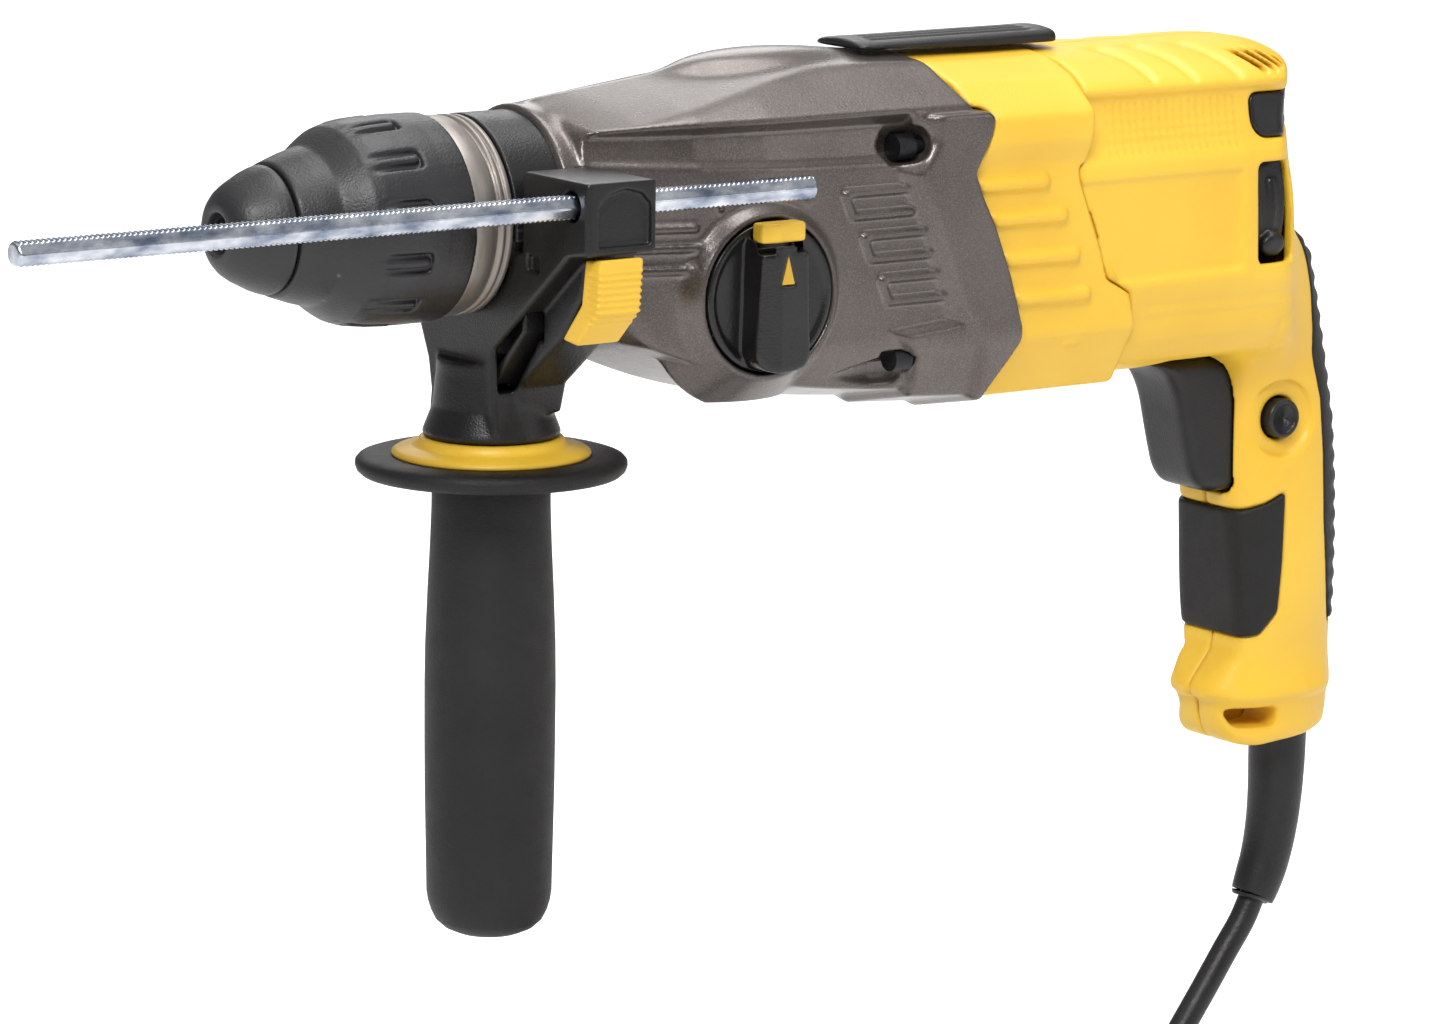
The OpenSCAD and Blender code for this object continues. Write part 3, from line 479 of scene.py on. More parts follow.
# the floor glows for the camera alone, so that it looks as pale as the photo's
glow = FLOOR.node_tree.nodes["Principled BSDF"].inputs
glow["Emission Color"].default_value = (1, 1, 1, 1)
floor_nodes, floor_links = FLOOR.node_tree.nodes, FLOOR.node_tree.links
ray, share = floor_nodes.new("ShaderNodeLightPath"), floor_nodes.new("ShaderNodeMath")
share.operation = "MULTIPLY"
share.inputs[1].default_value = 0.55
floor_links.new(ray.outputs["Is Camera Ray"], share.inputs[0])
floor_links.new(share.outputs["Value"], glow["Emission Strength"])

# the finish of each CAD node that shows as it is, by its slot in the record
FINISH = {
    "casting": CASTING, "yellow_shell": YELLOW, "black_rubber": RUBBER,
    "black_plastic": BLACK, "cord_sheath": SHEATH, "zinc_steel": ZINC,
    "machined_steel": STEEL, "ring_metal": RING, "light_alloy": ALLOY,
    "laminated_steel": LAMINATED, "copper_winding": COPPER, "carbon": CARBON, "foil": FOIL,
}
SLOT = {finish.name: slot for slot, finish in FINISH.items()}
SLOT.update({CAP_RUBBER.name: "black_rubber", GLOSSY.name: "black_plastic"})
for part in frame["record"]["subparts"]:
    for place in frame["nodes"][part["node"]].material_slots:
        place.link = "OBJECT"
        place.material = FINISH[part["material_slot"]]
for place in frame["nodes"]["housing_screws"].material_slots:
    place.material = BLACKED


# ---- cord ----

CORD_D = 7.6
LEAD = [(351, 0, -218), (347, 0, -225.5), (341, 0, -233.5), (333, -1, -243), (324, -2, -253.5),
        (315, -4, -262.5), (304.5, -8, -270.5), (292.5, -13.5, -277.5), (279.5, -21, -282.5),
        (266, -29.5, -285.3), (252, -38, -286.1), (238, -46, -286.2), (226, -52, -286.2),
        (218, -55, -286.2)]
TAIL = [(184, -56, -278.2), (172, -57.5, -279), (159, -60.5, -282), (147, -65, -285.5),
        (137, -70.5, -286.2)]
COIL_X, LOW_Z, HIGH_Z = 200, -286.2, -278.2
TURN_RADII = [56, 48, 40, 32]


def ease(t):
    t = min(max(t, 0), 1)
    return t * t * (3 - 2 * t)


def coil_points(steps=30):
    """Four turns inwards on the floor, up at the innermost, and four turns out on top."""
    points = []
    radii = TURN_RADII + TURN_RADII[::-1]
    for turn in range(8):
        here = radii[turn]
        after = radii[min(turn + 1, 7)]
        for k in range(steps):
            t = k / steps
            if turn < 3:
                r = here + (after - here) * ease((t - 0.66) / 0.28)
            elif turn > 3:
                r = here + (after - here) * ease((t - 0.05) / 0.28)
            else:
                r = here
            rise = ease((t - 0.34) / 0.28) if turn == 3 else float(turn > 3)
            a = -TURN / 4 - t * TURN
            points.append((COIL_X + r * math.cos(a), r * math.sin(a),
                           LOW_Z + (HIGH_Z - LOW_Z) * rise))
    points.append((COIL_X, -TURN_RADII[0], HIGH_Z))
    return points


cord_line = np.concatenate([curve_through(LEAD, 4), coil_points(), curve_through(TAIL, 4)])
line = bpy.data.curves.new("mains_cord", "CURVE")
line.dimensions = "3D"
line.bevel_depth = CORD_D / 2000
line.bevel_resolution = 5
line.use_fill_caps = True
spline = line.splines.new("POLY")
spline.points.add(len(cord_line) - 1)
for point, place in zip(spline.points, row(cord_line)):
    point.co = (*place, 1)
spline.use_smooth = True
mains_cord = add(line, "housing", SHEATH, "cord_lead", "cord_coil")

# The plug lies on its flat side at the cord's end.
plug = Solid((-2, -19, -5), (40, 19, 11), 0.5)
plug.join(plug.bar(0, 14, 5.2)).join(plug.bar(0, 2.2, 6))
for i in range(3):
    plug.join(plug.bar(3.6 + 3 * i, 5 + 3 * i, 5.8))
plug.join(plug.plan(rounded([(12, -6), (22, -17), (38, -17.4), (38, 17.4), (22, 17), (12, 6)],
                            6), -8, 12), 2)
plug.keep(plug.front(rounded([(-19, -3.8), (19, -3.8), (19, 4), (11, 9), (-11, 9), (-19, 4)], 3),
                     -5, 45), 1.5)
for y in (-12.5, 12.5):
    for i in range(4):
        plug.cut(plug.block((20 + 4 * i, y - 2.5, 4.6), (21.4 + 4 * i, y + 2.5, 20)))
for y in (-9.5, 9.5):
    plug.cut(np.maximum(np.hypot(plug.y - y, plug.z - 3) - 2.45, slab(plug.x, 29.5, 50)))
plug.soften(2)


def placed(mesh, origin, degrees):
    """Turns a mesh made about the tool's origin about z, and moves it to a tool point."""
    turned = Matrix.Rotation(math.radians(degrees), 4, "Z")
    mesh.transform(Matrix.Translation(row(origin)) @ turned @ Matrix.Translation(-Vector(row(
        (0, 0, 0)))))
    return mesh


plug_moulding = add(placed(plug.mesh("plug_moulding"), (137, -70.5, -286.2), 209), "housing",
                    SHEATH, "plug_body")
frame["nodes"]["cord_tie"].material_slots[0].material = FABRIC


def tube(path, radii, sides=40):
    """A closed tube along a path of tool points, with a radius at each."""
    path = np.asarray(path, float)
    ahead = np.gradient(path, axis=0)
    ahead /= np.linalg.norm(ahead, axis=1)[:, None]
    s = np.cross(ahead, (0.0, 1.0, 0.0))
    s /= np.linalg.norm(s, axis=1)[:, None]
    u = np.cross(s, ahead)
    a = np.arange(sides) * TURN / sides
    r = np.asarray(radii, float)[:, None, None]
    points = (path[:, None] + r * (np.cos(a)[None, :, None] * s[:, None]
                                   + np.sin(a)[None, :, None] * u[:, None]))
    ends = np.stack([path[0], path[-1]])
    count = len(path) * sides
    k = np.arange(sides)
    first = np.stack([np.full(sides, count), (k + 1) % sides, k], -1)
    last = np.stack([np.full(sides, count + 1), count - sides + k,
                     count - sides + (k + 1) % sides], -1)
    points = np.concatenate([points.reshape(-1, 3), ends])
    return points, ring_faces(len(path), sides), np.concatenate([first, last])


RELIEF = [(358.5, 0, -158), (358.5, 0, -162), (358.5, 0, -170), (358.5, 0, -178),
          (358.2, 0, -188), (357.2, 0, -198), (355, 0, -208), (351.3, 0, -217.4),
          (351, 0, -218)]
relief_line = curve_through(RELIEF, 8)
relief_s = np.linspace(0, 1, len(relief_line))
relief_r = np.interp(relief_s, [0, 0.115, 0.14, 0.25, 0.4, 0.6, 0.8, 0.95, 0.96, 0.99, 1],
                     [10.2, 10.2, 8.4, 8.4, 8.2, 7.6, 7.0, 6.1, 6.3, 6.0, 5.0])
relief_mesh = mesh_of("strain_relief_boot", *tube(relief_line, relief_r))
add(relief_mesh, "housing", SHEATH, "strain_relief")


# ---- gear housing and motor case ----

SEAM = [(211.0, 45), (211.7, 37.6), (213.6, 30), (215.9, 22.4), (219.6, 21.8), (221.6, 20.2),
        (221.0, 15.9), (218.4, 10.6), (215.5, 5.3), (218.6, -2), (222.3, -8.9), (227.9, -23),
        (232.2, -37.3), (232.4, -41.5), (230.6, -47), (228.6, -52.3), (226, -60), (225, -70)]
TOP_LINE = [(92, 26), (97, 28.4), (104, 29.6), (120, 31.3), (140, 33.6), (151, 34.8),
            (166, 35.9), (181, 36.4), (211, 35.6), (240, 34.6), (300, 34.4)]
UNDER_LINE = [(300, -61.6), (245, -62), (222, -60), (204, -58.8), (186, -57.3), (168, -55.4),
              (153, -53), (140, -50), (127, -46), (112, -40), (104, -35), (97, -29), (92, -25)]
MOTOR_Z = -12.05
SCREW_Y, SCREW_Z = 30.5, (13, -43.5)
KNOB_X, KNOB_Z, MARK_R = 148, -22.5, 27.6


def mirrored(half):
    """A closed outline from its right half, listed from the top down."""
    return list(half) + [(-y, z) for y, z in reversed(half)]


WALL_X, WALL_Y = [88, 92, 100, 112, 128, 150], [22, 23, 26.5, 30.4, 33.6, 35]
# planes that bound the case's section: a point (y, z) on each and its outward direction
FACES = (((35, 23.3), (0.515, 0.857)), ((35, -39), (0.861, -0.509)))


def widened(s):
    """Distance from the middle plane, scaled as if the side walls ran straight at y = 35."""
    return np.abs(s.y) * (35 / np.interp(s.x, WALL_X, WALL_Y)).astype(np.float32)


def gear_form(s):
    """Outer form of the gear housing."""
    wide = widened(s)
    top_x, top_z = curve_through(TOP_LINE, 4).T
    under_x, under_z = curve_through(UNDER_LINE[::-1], 4).T
    crown = np.interp(s.x, [150, 195], [0.21, 0.12]) * wide
    top = s.z + crown - np.interp(s.x, top_x, top_z)
    form = smooth_max(0.98 * top, wide - 35, 1.2)
    form = smooth_max(form, 0.98 * (np.interp(s.x, under_x, under_z) + 0.2 * wide - s.z), 1.2)
    for (y0, z0), (ny, nz) in FACES:
        form = smooth_max(form, (wide - y0) * ny + (s.z - z0) * nz, 1.0)
    nose = s.turned([(0, 90), (25, 90), (27.6, 96.6), (38, 102), (54, 108), (75, 114),
                     (75, 300), (0, 300)])
    return smooth_max(form, nose, 1.4)


def gear_case():
    s = Solid((74, -40, -63), (237, 40, 41), 0.62)
    form = gear_form(s)
    s.join(form)
    s.join(smooth_max(np.hypot(s.y, s.z) - 27.6, slab(s.x, 91.4, 104), 1.2), 1)
    s.join(s.bar(74.9, 99, 24))
    y = np.abs(s.y)
    # narrow dome on top, over the striking gear
    dome = np.sqrt(((s.x - 170) / 27) ** 2 + (s.y / 12) ** 2 + ((s.z - 33.4) / 4.8) ** 2) - 1
    s.join(dome * 4.8, 2.2)
    # long hollow right under the ridge, from the nose to the screw pocket
    low = np.interp(s.x, [100, 126, 157, 189], [13.4, 11.9, 10.2, 9.4])
    part = (s.z - low) / (23.2 - low)
    floor = 35.3 - 4.4 * np.interp(part, [0, 0.12, 0.5, 0.74, 0.98], [0, 0.42, 0.84, 1, 0])
    s.cut(smooth_max(floor - widened(s), slab(s.x, 98, 196), 1.2), 0.5)
    # the rear flange rises behind a slanting bank, and a lower boss beside it
    bank = s.side([(199.2, 40), (199.2, 15.5), (196.4, 11.4), (190.8, 7.4), (198.6, -7.7),
                   (206.8, -31.1), (214.2, -44.5), (216.1, -52.1), (217, -75), (260, -75),
                   (260, 40)])
    lower = s.side([(188.2, -35.4), (194, -40.4), (197.6, -45.5), (199.4, -50.7), (198, -75),
                    (260, -75), (260, -29)])
    lean = np.interp(s.z, [-50, 5], [0.42, 0.74])
    lift = np.maximum(np.clip(-lean * bank, 0, 3.3), np.clip(-0.9 * lower, 0, 2.0))
    raised = smooth_max(form - lift, s.z - 21.7, 0.9)
    s.join(np.maximum(raised, np.minimum(bank, lower)), 0.3)
    # pockets in front of the screws
    for zc, yc, x0, x1 in ((13.9, 33.0, 184, 201.4), (-47.4, 31.0, 160, 199)):
        lead = np.hypot(y - yc, s.z - zc) - np.interp(s.x, [x0, 189], [-2, 5.1])
        s.cut(smooth_max(lead, s.x - x1, 5), 0.5)
    # slanted facets at the front lower corners
    facet = (s.x - 117.5) * -0.62 + (y - 35) * 0.52 + (s.z + 33) * -0.36
    s.keep(smooth_min(facet, -12 - s.z, 3), 1.5)
    # raised open frames behind the knob, and bars in front of it
    for x0, z0 in ((173.8, 2.4), (180.0, -9.4), (186.0, -21.2)):
        w = s.window((x0 - 3, -40, z0 - 9), (x0 + 24, 40, z0 + 3))
        frame_line = w.line([(x0 + 21, z0), (x0, z0), (x0 + 2.5, z0 - 6.2), (x0 + 22, z0 - 6.2)],
                            0.95)
        w.join(smooth_max(frame_line, np.abs(w.y) - 36.4, 0.5), 0.5)
    for x0, x1, z in ((110.2, 126.7, -3.2), (109.4, 127.2, -8.4), (109.4, 125.8, -14.2)):
        w = s.window((x0 - 4, -40, z - 4), (x1 + 4, 40, z + 4))
        rib = w.line([(x0, z), (x1, z - 0.3)], 1.0)
        w.join(smooth_max(rib, widened(w) - 36.6, 0.5), 0.6)
    # three plain marks that show the knob's settings
    for a in (60, 90, 120):
        turn = math.radians(a)
        mx, mz = KNOB_X + MARK_R * math.cos(turn), KNOB_Z + MARK_R * math.sin(turn)
        w = s.window((mx - 3, -40, mz - 3), (mx + 3, -30, mz + 3))
        w.join(np.maximum(np.hypot(w.x - mx, w.z - mz) - 1.0, -35.7 - w.y), 0.6)
    # ring that the mode knob turns in
    w = s.window((120, -42, -52), (176, -20, 6))
    around = np.hypot(w.x - KNOB_X, w.z - KNOB_Z)
    cone = smooth_max(around - 24.3 + 0.8 * (-34.6 - w.y), -38.0 - w.y, 0.6)
    w.join(np.maximum(cone, w.y + 25), 0.9)
    w.cut(np.maximum(around - 20.45, slab(w.y, -60, -31.5)))
    w.cut(np.maximum(around - 9.1, slab(w.y, -60, -20)))
    # the seam to the motor case
    seam = s.side([(60, 45)] + SEAM + [(60, -70)])
    s.keep(seam + 0.12)
    s.soften(1)
    # inside: the barrel, the countershaft's room and the seats
    s.cut(s.bar(70, 82, 18.2)).cut(s.bar(80, 100, 14)).cut(s.bar(97, 110, 18.5))
    s.cut(s.bar(109, 134, 15.5)).cut(s.bar(133, 151, 18.5)).cut(s.bar(151, 168, 30.4))
    s.cut(s.bar(167, 260, 24.5)).cut(s.bar(201, 260, 20.6, -35))
    s.cut(s.bar(134, 260, 11.2, -35)).cut(s.bar(166, 260, 17.9, -35))
    s.cut(s.side([(143, 0), (260, 0), (260, -46), (166, -44), (143, -38)], -19, 19))
    s.cut(s.block((137, -25.4, -32), (157, -17.4, -6)))
    s.cut(np.maximum(form + 4.2, slab(s.x, 214.3, 260)))
    for z in SCREW_Z:
        shank = np.hypot(y - SCREW_Y, s.z - z)
        s.cut(np.maximum(shank - 3.9, slab(s.x, 188, 199)))
        s.cut(np.maximum(shank - 2.15, slab(s.x, 188, 260)))
    return s.mesh("gear_case")


add(gear_case(), "housing", CASTING, "gear_housing")

SPLIT = [(256.2, 45), (256.0, 20), (255.4, 5.6), (252.8, 4.2), (253.6, 0), (261, -18.7),
         (263.4, -27), (271.5, -31.5), (273.5, -40), (273.5, -70)]


def motor_case():
    s = Solid((209, -40, -65), (333, 40, 40), 0.66)
    y = np.abs(s.y)
    under = [(300, -56), (280, -59.6), (271, -60.8), (262, -61.8), (245, -62.2), (222, -60.6),
             (204, -58.8)]
    side = s.side([*curve_through(TOP_LINE, 4), *under])
    section = s.front(mirrored([(0, 35.2), (16, 32.8), (27.4, 28.4), (36, 21.4), (38, 19.4),
                                (38, 12.4), (35.3, 6.4), (35.1, -41), (25.5, -57.5), (0, -62.4)]))
    form = smooth_max(side, section, 2.5)
    s.join(form)
    # four raised bars on the recessed side
    for x0, x1, z in ((218, 240, 1.2), (225.5, 246.5, -8.4), (229.5, 251, -19.4),
                      (233, 255, -30.4)):
        w = s.window((x0 - 4, -41, z - 5), (x1 + 4, 41, z + 5))
        bar = w.line([(x0 - 6, z + 0.2), (x1, z)], 1.7)
        w.join(smooth_max(bar, np.abs(w.y) - 37.3, 0.8), 0.9)
    split = s.side([(190, 45)] + SPLIT + [(190, -70)])
    s.keep(split + 0.1)
    seam = s.side([(400, 45)] + SEAM + [(400, -70)])
    s.keep(seam + 0.12)
    s.soften(2)
    # the inside, and the sleeve that holds the stator
    s.cut(np.maximum(s.d + 3, slab(s.x, 205, 250)))
    s.cut(s.bar(200, 222, 34.4, -13))
    s.join(s.bar(254, 296, 33, MOTOR_Z)).join(s.bar(295, 332, 24.5, MOTOR_Z))
    s.join(np.maximum(s.front(mirrored([(0, 33), (30, 22), (34, 10), (34, -44), (20, -58),
                                        (0, -60)]), 250, 255), split))
    s.cut(s.bar(229, 294, 31, MOTOR_Z)).cut(s.bar(290, 318, 22.2, MOTOR_Z))
    s.cut(s.bar(315, 334, 8, MOTOR_Z))
    s.cut(s.front([(-26, 4), (-16, 2), (-16, -26), (-26, -29)], 312.6, 321))
    for z in SCREW_Z:
        post = np.hypot(y - SCREW_Y, s.z - z)
        s.join(meet(post - 5, slab(s.x, 224, 252), form + 0.5))
        s.cut(np.maximum(post - 2.1, slab(s.x, 205, 250)))
    return s.mesh("motor_case")


add(motor_case(), "housing", YELLOW, "motor_housing")


# ---- rear shells ----

SHELL_TOP = [(240, 34.5), (262, 34.3), (300, 34.4), (323, 34.2), (331, 33), (339, 31),
             (346, 28.4), (351.5, 24), (356.3, 18.7)]
SHELL_BACK = [(354.4, 15.4), (353.6, 10), (355, 4), (361, -8), (366.5, -25.5), (370.7, -46),
              (374.9, -75), (376.6, -90), (377.2, -105), (376.7, -122), (376, -134),
              (373.8, -144), (374.6, -150.6), (376.3, -154.4), (376, -156.2), (373.6, -157.5),
              (372.9, -163), (368.9, -168.4)]
SHELL_FOOT = [(358, -169.4), (348, -169.8), (339, -170.4), (333, -169.4), (329.4, -166),
              (328, -161), (327.6, -157.6), (325, -156.2), (324.2, -154.6), (324.9, -152.2),
              (328.6, -147.6), (332.2, -142.4), (331.8, -134),
              (330.4, -118), (329, -101.6), (328, -94.3), (326.6, -80), (326.5, -66),
              (324, -59), (319, -55.6)]
SHELL_BELLY = [(298, -55.8), (290, -58.6), (280, -60.8), (270, -61.4), (255, -61.6)]
CASE_SCREWS = [(268, 29), (340, 23), (268, -53.5), (337, -100), (358.6, -61), (336, -146)]
LOCK_X, LOCK_Z = 343, -75.4
# how far the rear corners reach at each height, measured slantwise as in shell_form
REAR_Z = [-114, -97, -80, -68, -57, -45, -33, -21, -9, -1, 7, 12, 20, 24]
REAR_REACH = [307.4, 306.8, 305.5, 303.6, 301.8, 299.8, 297.5, 295.2, 292.4, 290.3, 289.2, 288.6,
              289.0, 289.8]


def hump(a, middle, width):
    return np.exp(-((a - middle) / width) ** 2)


def shell_form(s):
    """Outer form of the rear shells, the same on both sides."""
    lines = (SHELL_TOP, SHELL_BACK, SHELL_FOOT, SHELL_BELLY)
    side = s.side([point for line in lines for point in curve_through(line, 4)])
    half = [(0, 34.9), (14, 32.8), (21, 31), (26.5, 28.6), (30.4, 26), (32.4, 23.8),
            (32.4, 22.8), (30.2, 21.0), (30.6, 17), (32.3, 8), (34.6, 4.2), (35.1, 0), (35.3, -26),
            (35.4, -30), (33.4, -36.5), (30.4, -46), (25.5, -53), (18, -58.5), (0, -62)]
    section = s.front(mirrored(half))
    over = curve_through([(300, 40), (321, 38), (329, 34.6), (335, 28.5), (341, 20.5),
                          (347, 12), (351.5, 5), (353, 0)], 4).tolist()
    far_side = [(x, -y) for x, y in reversed(over)]
    above = s.plan([(230, 0), (230, 42)] + over + far_side + [(230, -42)])
    body = smooth_max(smooth_max(section, above, 3), -62 - s.z, 3)
    body = smooth_max(body, 18 * np.clip((s.x - 330) / 40, 0, 1) - 58 - s.z, 8)
    round_grip = [(322.5, 0), (323.6, 5.4), (326.4, 9.6), (331, 13.8), (338, 16.7), (346, 17.3),
                  (354, 16.6), (361, 14.6), (367.4, 11.2), (373, 6.6), (377, 0)]
    closed = round_grip + [(x, -y) for x, y in round_grip[-2:0:-1]]
    grip = s.plan(curve_through(closed, 4, True))
    grip = smooth_max(grip, s.z + 30, 12)
    # the grip narrows a little below the palm pad and flares again at its foot
    grip = grip + 1.1 * hump(s.z, -143, 9) - 0.9 * hump(s.z, -155.5, 4)
    grip = grip + 1.5 * np.clip((-156.2 - s.z) / 1.2, 0, 1)
    form = smooth_max(smooth_min(body, grip, 16), side, 3.5)
    # the rear corners lean in, and the hood's top corner is cut at a slant
    across = 0.814 * s.x + 0.70 * np.abs(s.y)
    form = smooth_max(form, 0.93 * (across - np.interp(s.z, REAR_Z, REAR_REACH)), 2)
    return smooth_max(form, 0.6 * (across - 288.6) + 0.8 * (s.z - 26.3), 4)


def near_skin(form, depth):
    """Inside only within a depth of the form's surface."""
    return -form - depth


def rear_shell(left):
    """Works on +y; the left one is mirrored when it is meshed."""
    s = Solid((250, -0.7, -172), (380, 36, 36.5), 0.66)
    outer = shell_form(s)
    s.join(outer)
    # plain recessed panel on the side
    panel = s.side([(250, -0.8), (311, -0.6), (311, -27.6), (268, -28.6), (259, -18)])
    s.cut(smooth_max(panel, 33.8 - s.y, 0.5), 0.4)
    # arcs pressed into the hood
    for arc in ([(266, 36), (274, 33.8), (278.6, 30.6), (281, 26)],
                [(279.5, 36), (288.5, 33.2), (293, 29.4), (295.4, 25.4)],
                [(296, 36), (305, 32.8), (309, 29), (311.4, 25.4)]):
        line = s.line(curve_through(arc, 4), 0.9)
        s.cut(smooth_max(smooth_max(line, near_skin(outer, 0.9), 0.6), 10 - s.y, 1), 1.4)
    # outline grooves below the panel
    for groove in ([(277.5, -36.2), (333, -36.4), (335, -38), (334.5, -41.5), (329, -46)],
                   [(278.5, -39.8), (327, -40.4), (329, -42), (329, -56)]):
        line = s.line(groove, 0.55)
        s.cut(np.maximum(line, near_skin(outer, 0.7)), 0.5)
    # frame of the lever window
    frame_line = s.line([(314.8, 3.4), (332.6, 3.4), (335.4, -29.6), (315.6, -29.6), (314.8, 3.4)],
                        0.5)
    s.cut(np.maximum(frame_line, near_skin(outer, 0.6)), 0.5)
    # seats of the palm pad, the back pad and the rear insert
    palm = s.side(PALM) - 0.25
    s.cut(np.maximum(palm, near_skin(outer, 1.9)))
    s.cut(meet(slab(s.y, -20, 11.6), near_skin(outer, 7.4), s.side(BACK_ZONE) - 0.25))
    if not left:
        for x, z in CASE_SCREWS:
            s.cut(s.pin(x, z, 8, 60, 3.3))
    # the rear insert's window and its lower lip
    s.cut(np.maximum(insert_form(s) - 0.25, near_skin(outer, 4.4)))
    # lanyard loop
    loop = s.side(rounded([(329.6, -159), (345, -159), (345, -164.6), (332, -164.6)], 2))
    s.cut(np.maximum(loop, s.y - 25), 1.0)
    # dish and bore of the lock button
    if left:
        away = np.hypot(s.x - LOCK_X, s.z - LOCK_Z)
        s.cut(np.maximum(away - 10.8, 14.9 - s.y), 1.2)
        s.cut(s.pin(LOCK_X, LOCK_Z, 5, 30, 6.2))
        window = s.side(rounded([(316.6, 1.0), (330, 1.0), (332.4, -27.4), (317.4, -27.4)], 1.6))
        s.cut(np.maximum(window, 24 - s.y), 0.9)
    # flat between the two body skins at the front
    split = s.side([(420, 45)] + SPLIT + [(273.5, -190), (420, -190)])
    s.keep(split + 0.1)
    s.keep(0.12 - s.y)
    s.soften(2)
    # the hollow, with bosses for the case screws and a solid foot
    hollow = outer + 2.8
    for x, z in CASE_SCREWS:
        hollow = np.maximum(hollow, 4.2 - np.hypot(s.x - x, s.z - z))
    foot = s.side([(320, -156.5), (347, -156.5), (347, -175), (320, -175)])
    hollow = np.maximum(hollow, -foot)
    if left:
        hollow = np.maximum(hollow, -np.maximum(away - 13, 10.6 - s.y))
    palm_wall = s.side(PALM) - 2
    hollow = np.maximum(hollow, -np.maximum(palm_wall, near_skin(outer, 4.4)))
    back_wall = s.side(BACK_ZONE) - 1
    hollow = np.maximum(hollow, -np.maximum(back_wall, near_skin(outer, 9.6)))
    s.cut(hollow)
    s.cut(s.bar(240, 297, 33.15, MOTOR_Z)).cut(s.bar(290, 333, 24.7, MOTOR_Z))
    s.cut(s.block((300, -8, -96.8), (340, 11.6, -56.6), 4))
    s.cut(s.post(358.5, 0, -176, -155, 8.7)).cut(s.post(358.5, 0, -162.2, -149, 10.7))
    for x, z in CASE_SCREWS:
        s.cut(s.pin(x, z, -2, 10.4, 1.7))
    # four slanted vents through the hood
    for i in range(4):
        a = 314.5 + 4.1 * i
        w = s.window((a - 4, 6, 22), (a + 14, 37, 37))
        slot = w.line([(a, 33), (a + 7, 26)], 0.85)
        w.cut(np.maximum(slot, 19.5 - w.y))
    # fine knurl on the band under the hood
    band = s.side([(264, 20.6), (311, 20.6), (311, 6), (264, 6)])
    pitch = 4 * s.step
    knurl = (np.cos(TURN * s.x / pitch) + np.cos(TURN * s.z / pitch)) * 0.16
    s.d[...] -= np.where((band < 0) & (s.y > 20), knurl, 0)
    return s.mesh("handle_left" if left else "handle_right", mirror=left)


PALM = [(316, -98.6), (324.6, -101.4), (331.6, -101.2), (338, -99.6), (344.4, -96.8),
        (344.0, -116), (342.8, -131), (337.4, -137.4), (328, -139), (316, -139)]
BACK_ZONE = [(350, -9), (349.4, -16), (349.2, -34), (350.2, -46), (351.8, -57), (354.0, -63),
             (356.8, -71), (359.2, -88), (360.6, -107), (363.4, -126), (367.6, -137), (390, -137),
             (390, -9)]


def insert_form(s):
    """Black insert around the top rear corner."""
    return s.side(rounded([(316, 19.8), (362, 19.8), (362, 7.6), (319.4, 7.6), (316.2, 11)], 2.6))


add(rear_shell(True), "housing", YELLOW, "handle_shell_left")
add(rear_shell(False), "housing", YELLOW, "handle_shell_right")


# ---- rubber and black trim on the rear shells ----


def palm_rest():
    s = Solid((322, -19.5, -141), (346.5, 19.5, -95), 0.5)
    form = shell_form(s)
    zone = s.side(PALM)
    s.join(smooth_max(smooth_max(form - 0.35, zone, 1.0), near_skin(form, 1.65), 0.3))
    s.soften(1)
    return s.mesh("palm_rest")


def back_rest():
    s = Solid((346, -20, -139), (380, 20, -5), 0.55)
    form = shell_form(s)
    zone = s.side(BACK_ZONE)
    waves = 0.28 * np.cos(TURN * (s.z + 0.12 * s.x) / 5.7) * np.clip((14 - np.abs(s.y)) / 3, 0, 1)
    s.join(smooth_max(smooth_max(form - 0.45 - waves, zone, 1.2), near_skin(form, 2.5), 0.4))
    s.soften(1)
    return s.mesh("back_rest")


def rear_insert():
    s = Solid((314, -35, 3), (360, 35, 21), 0.5)
    form = shell_form(s)
    steps = 0.35 * np.cos(TURN * s.z / 2.3) * np.clip((s.x - 334) / 4, 0, 1)
    s.join(smooth_max(smooth_max(form + 0.35 - steps, insert_form(s), 0.8),
                      near_skin(form, 3.9), 0.4))
    s.soften(1)
    return s.mesh("rear_insert")


def top_rail():
    s = Solid((193, -14, 33), (268, 14, 42), 0.5)
    plan = s.plan(rounded([(196, -11.6), (265, -10.4), (265, 10.4), (196, 11.6)], 4), 30, 50)
    s.join(smooth_max(plan, s.z - 39.2 + 0.012 * s.y ** 2, 2))
    for y in (-6, -3, 0, 3, 6):
        s.cut(smooth_max(np.hypot(s.y - y, s.z - 39.4 + 0.012 * y * y) - 0.8,
                         slab(s.x, 203, 258), 1), 0.5)
    crown = s.side([(180, 20), (180, 36.7), (203, 36.5), (214.5, 36.2), (240, 35.4), (300, 34.9),
                    (300, 20)])
    s.cut(crown)
    s.soften(1)
    return s.mesh("top_rail")


def trigger_lever():
    s = Solid((297, -12, -99), (347, 12, -54), 0.5)
    face = curve_through([(298.6, -57.2), (303, -59), (307.4, -62.6), (310.6, -69), (312.6, -77),
                          (314.6, -85), (316.4, -90.6), (319.4, -94.4), (323.6, -96)], 4).tolist()
    side = s.side(face + [(340, -96), (340, -57)])
    s.join(smooth_max(side, np.abs(s.y) - 11.2, 4.5))
    s.keep(s.x - 330)
    s.join(s.bar(328, 346, 2, -84))
    s.soften(1)
    return s.mesh("trigger_lever")


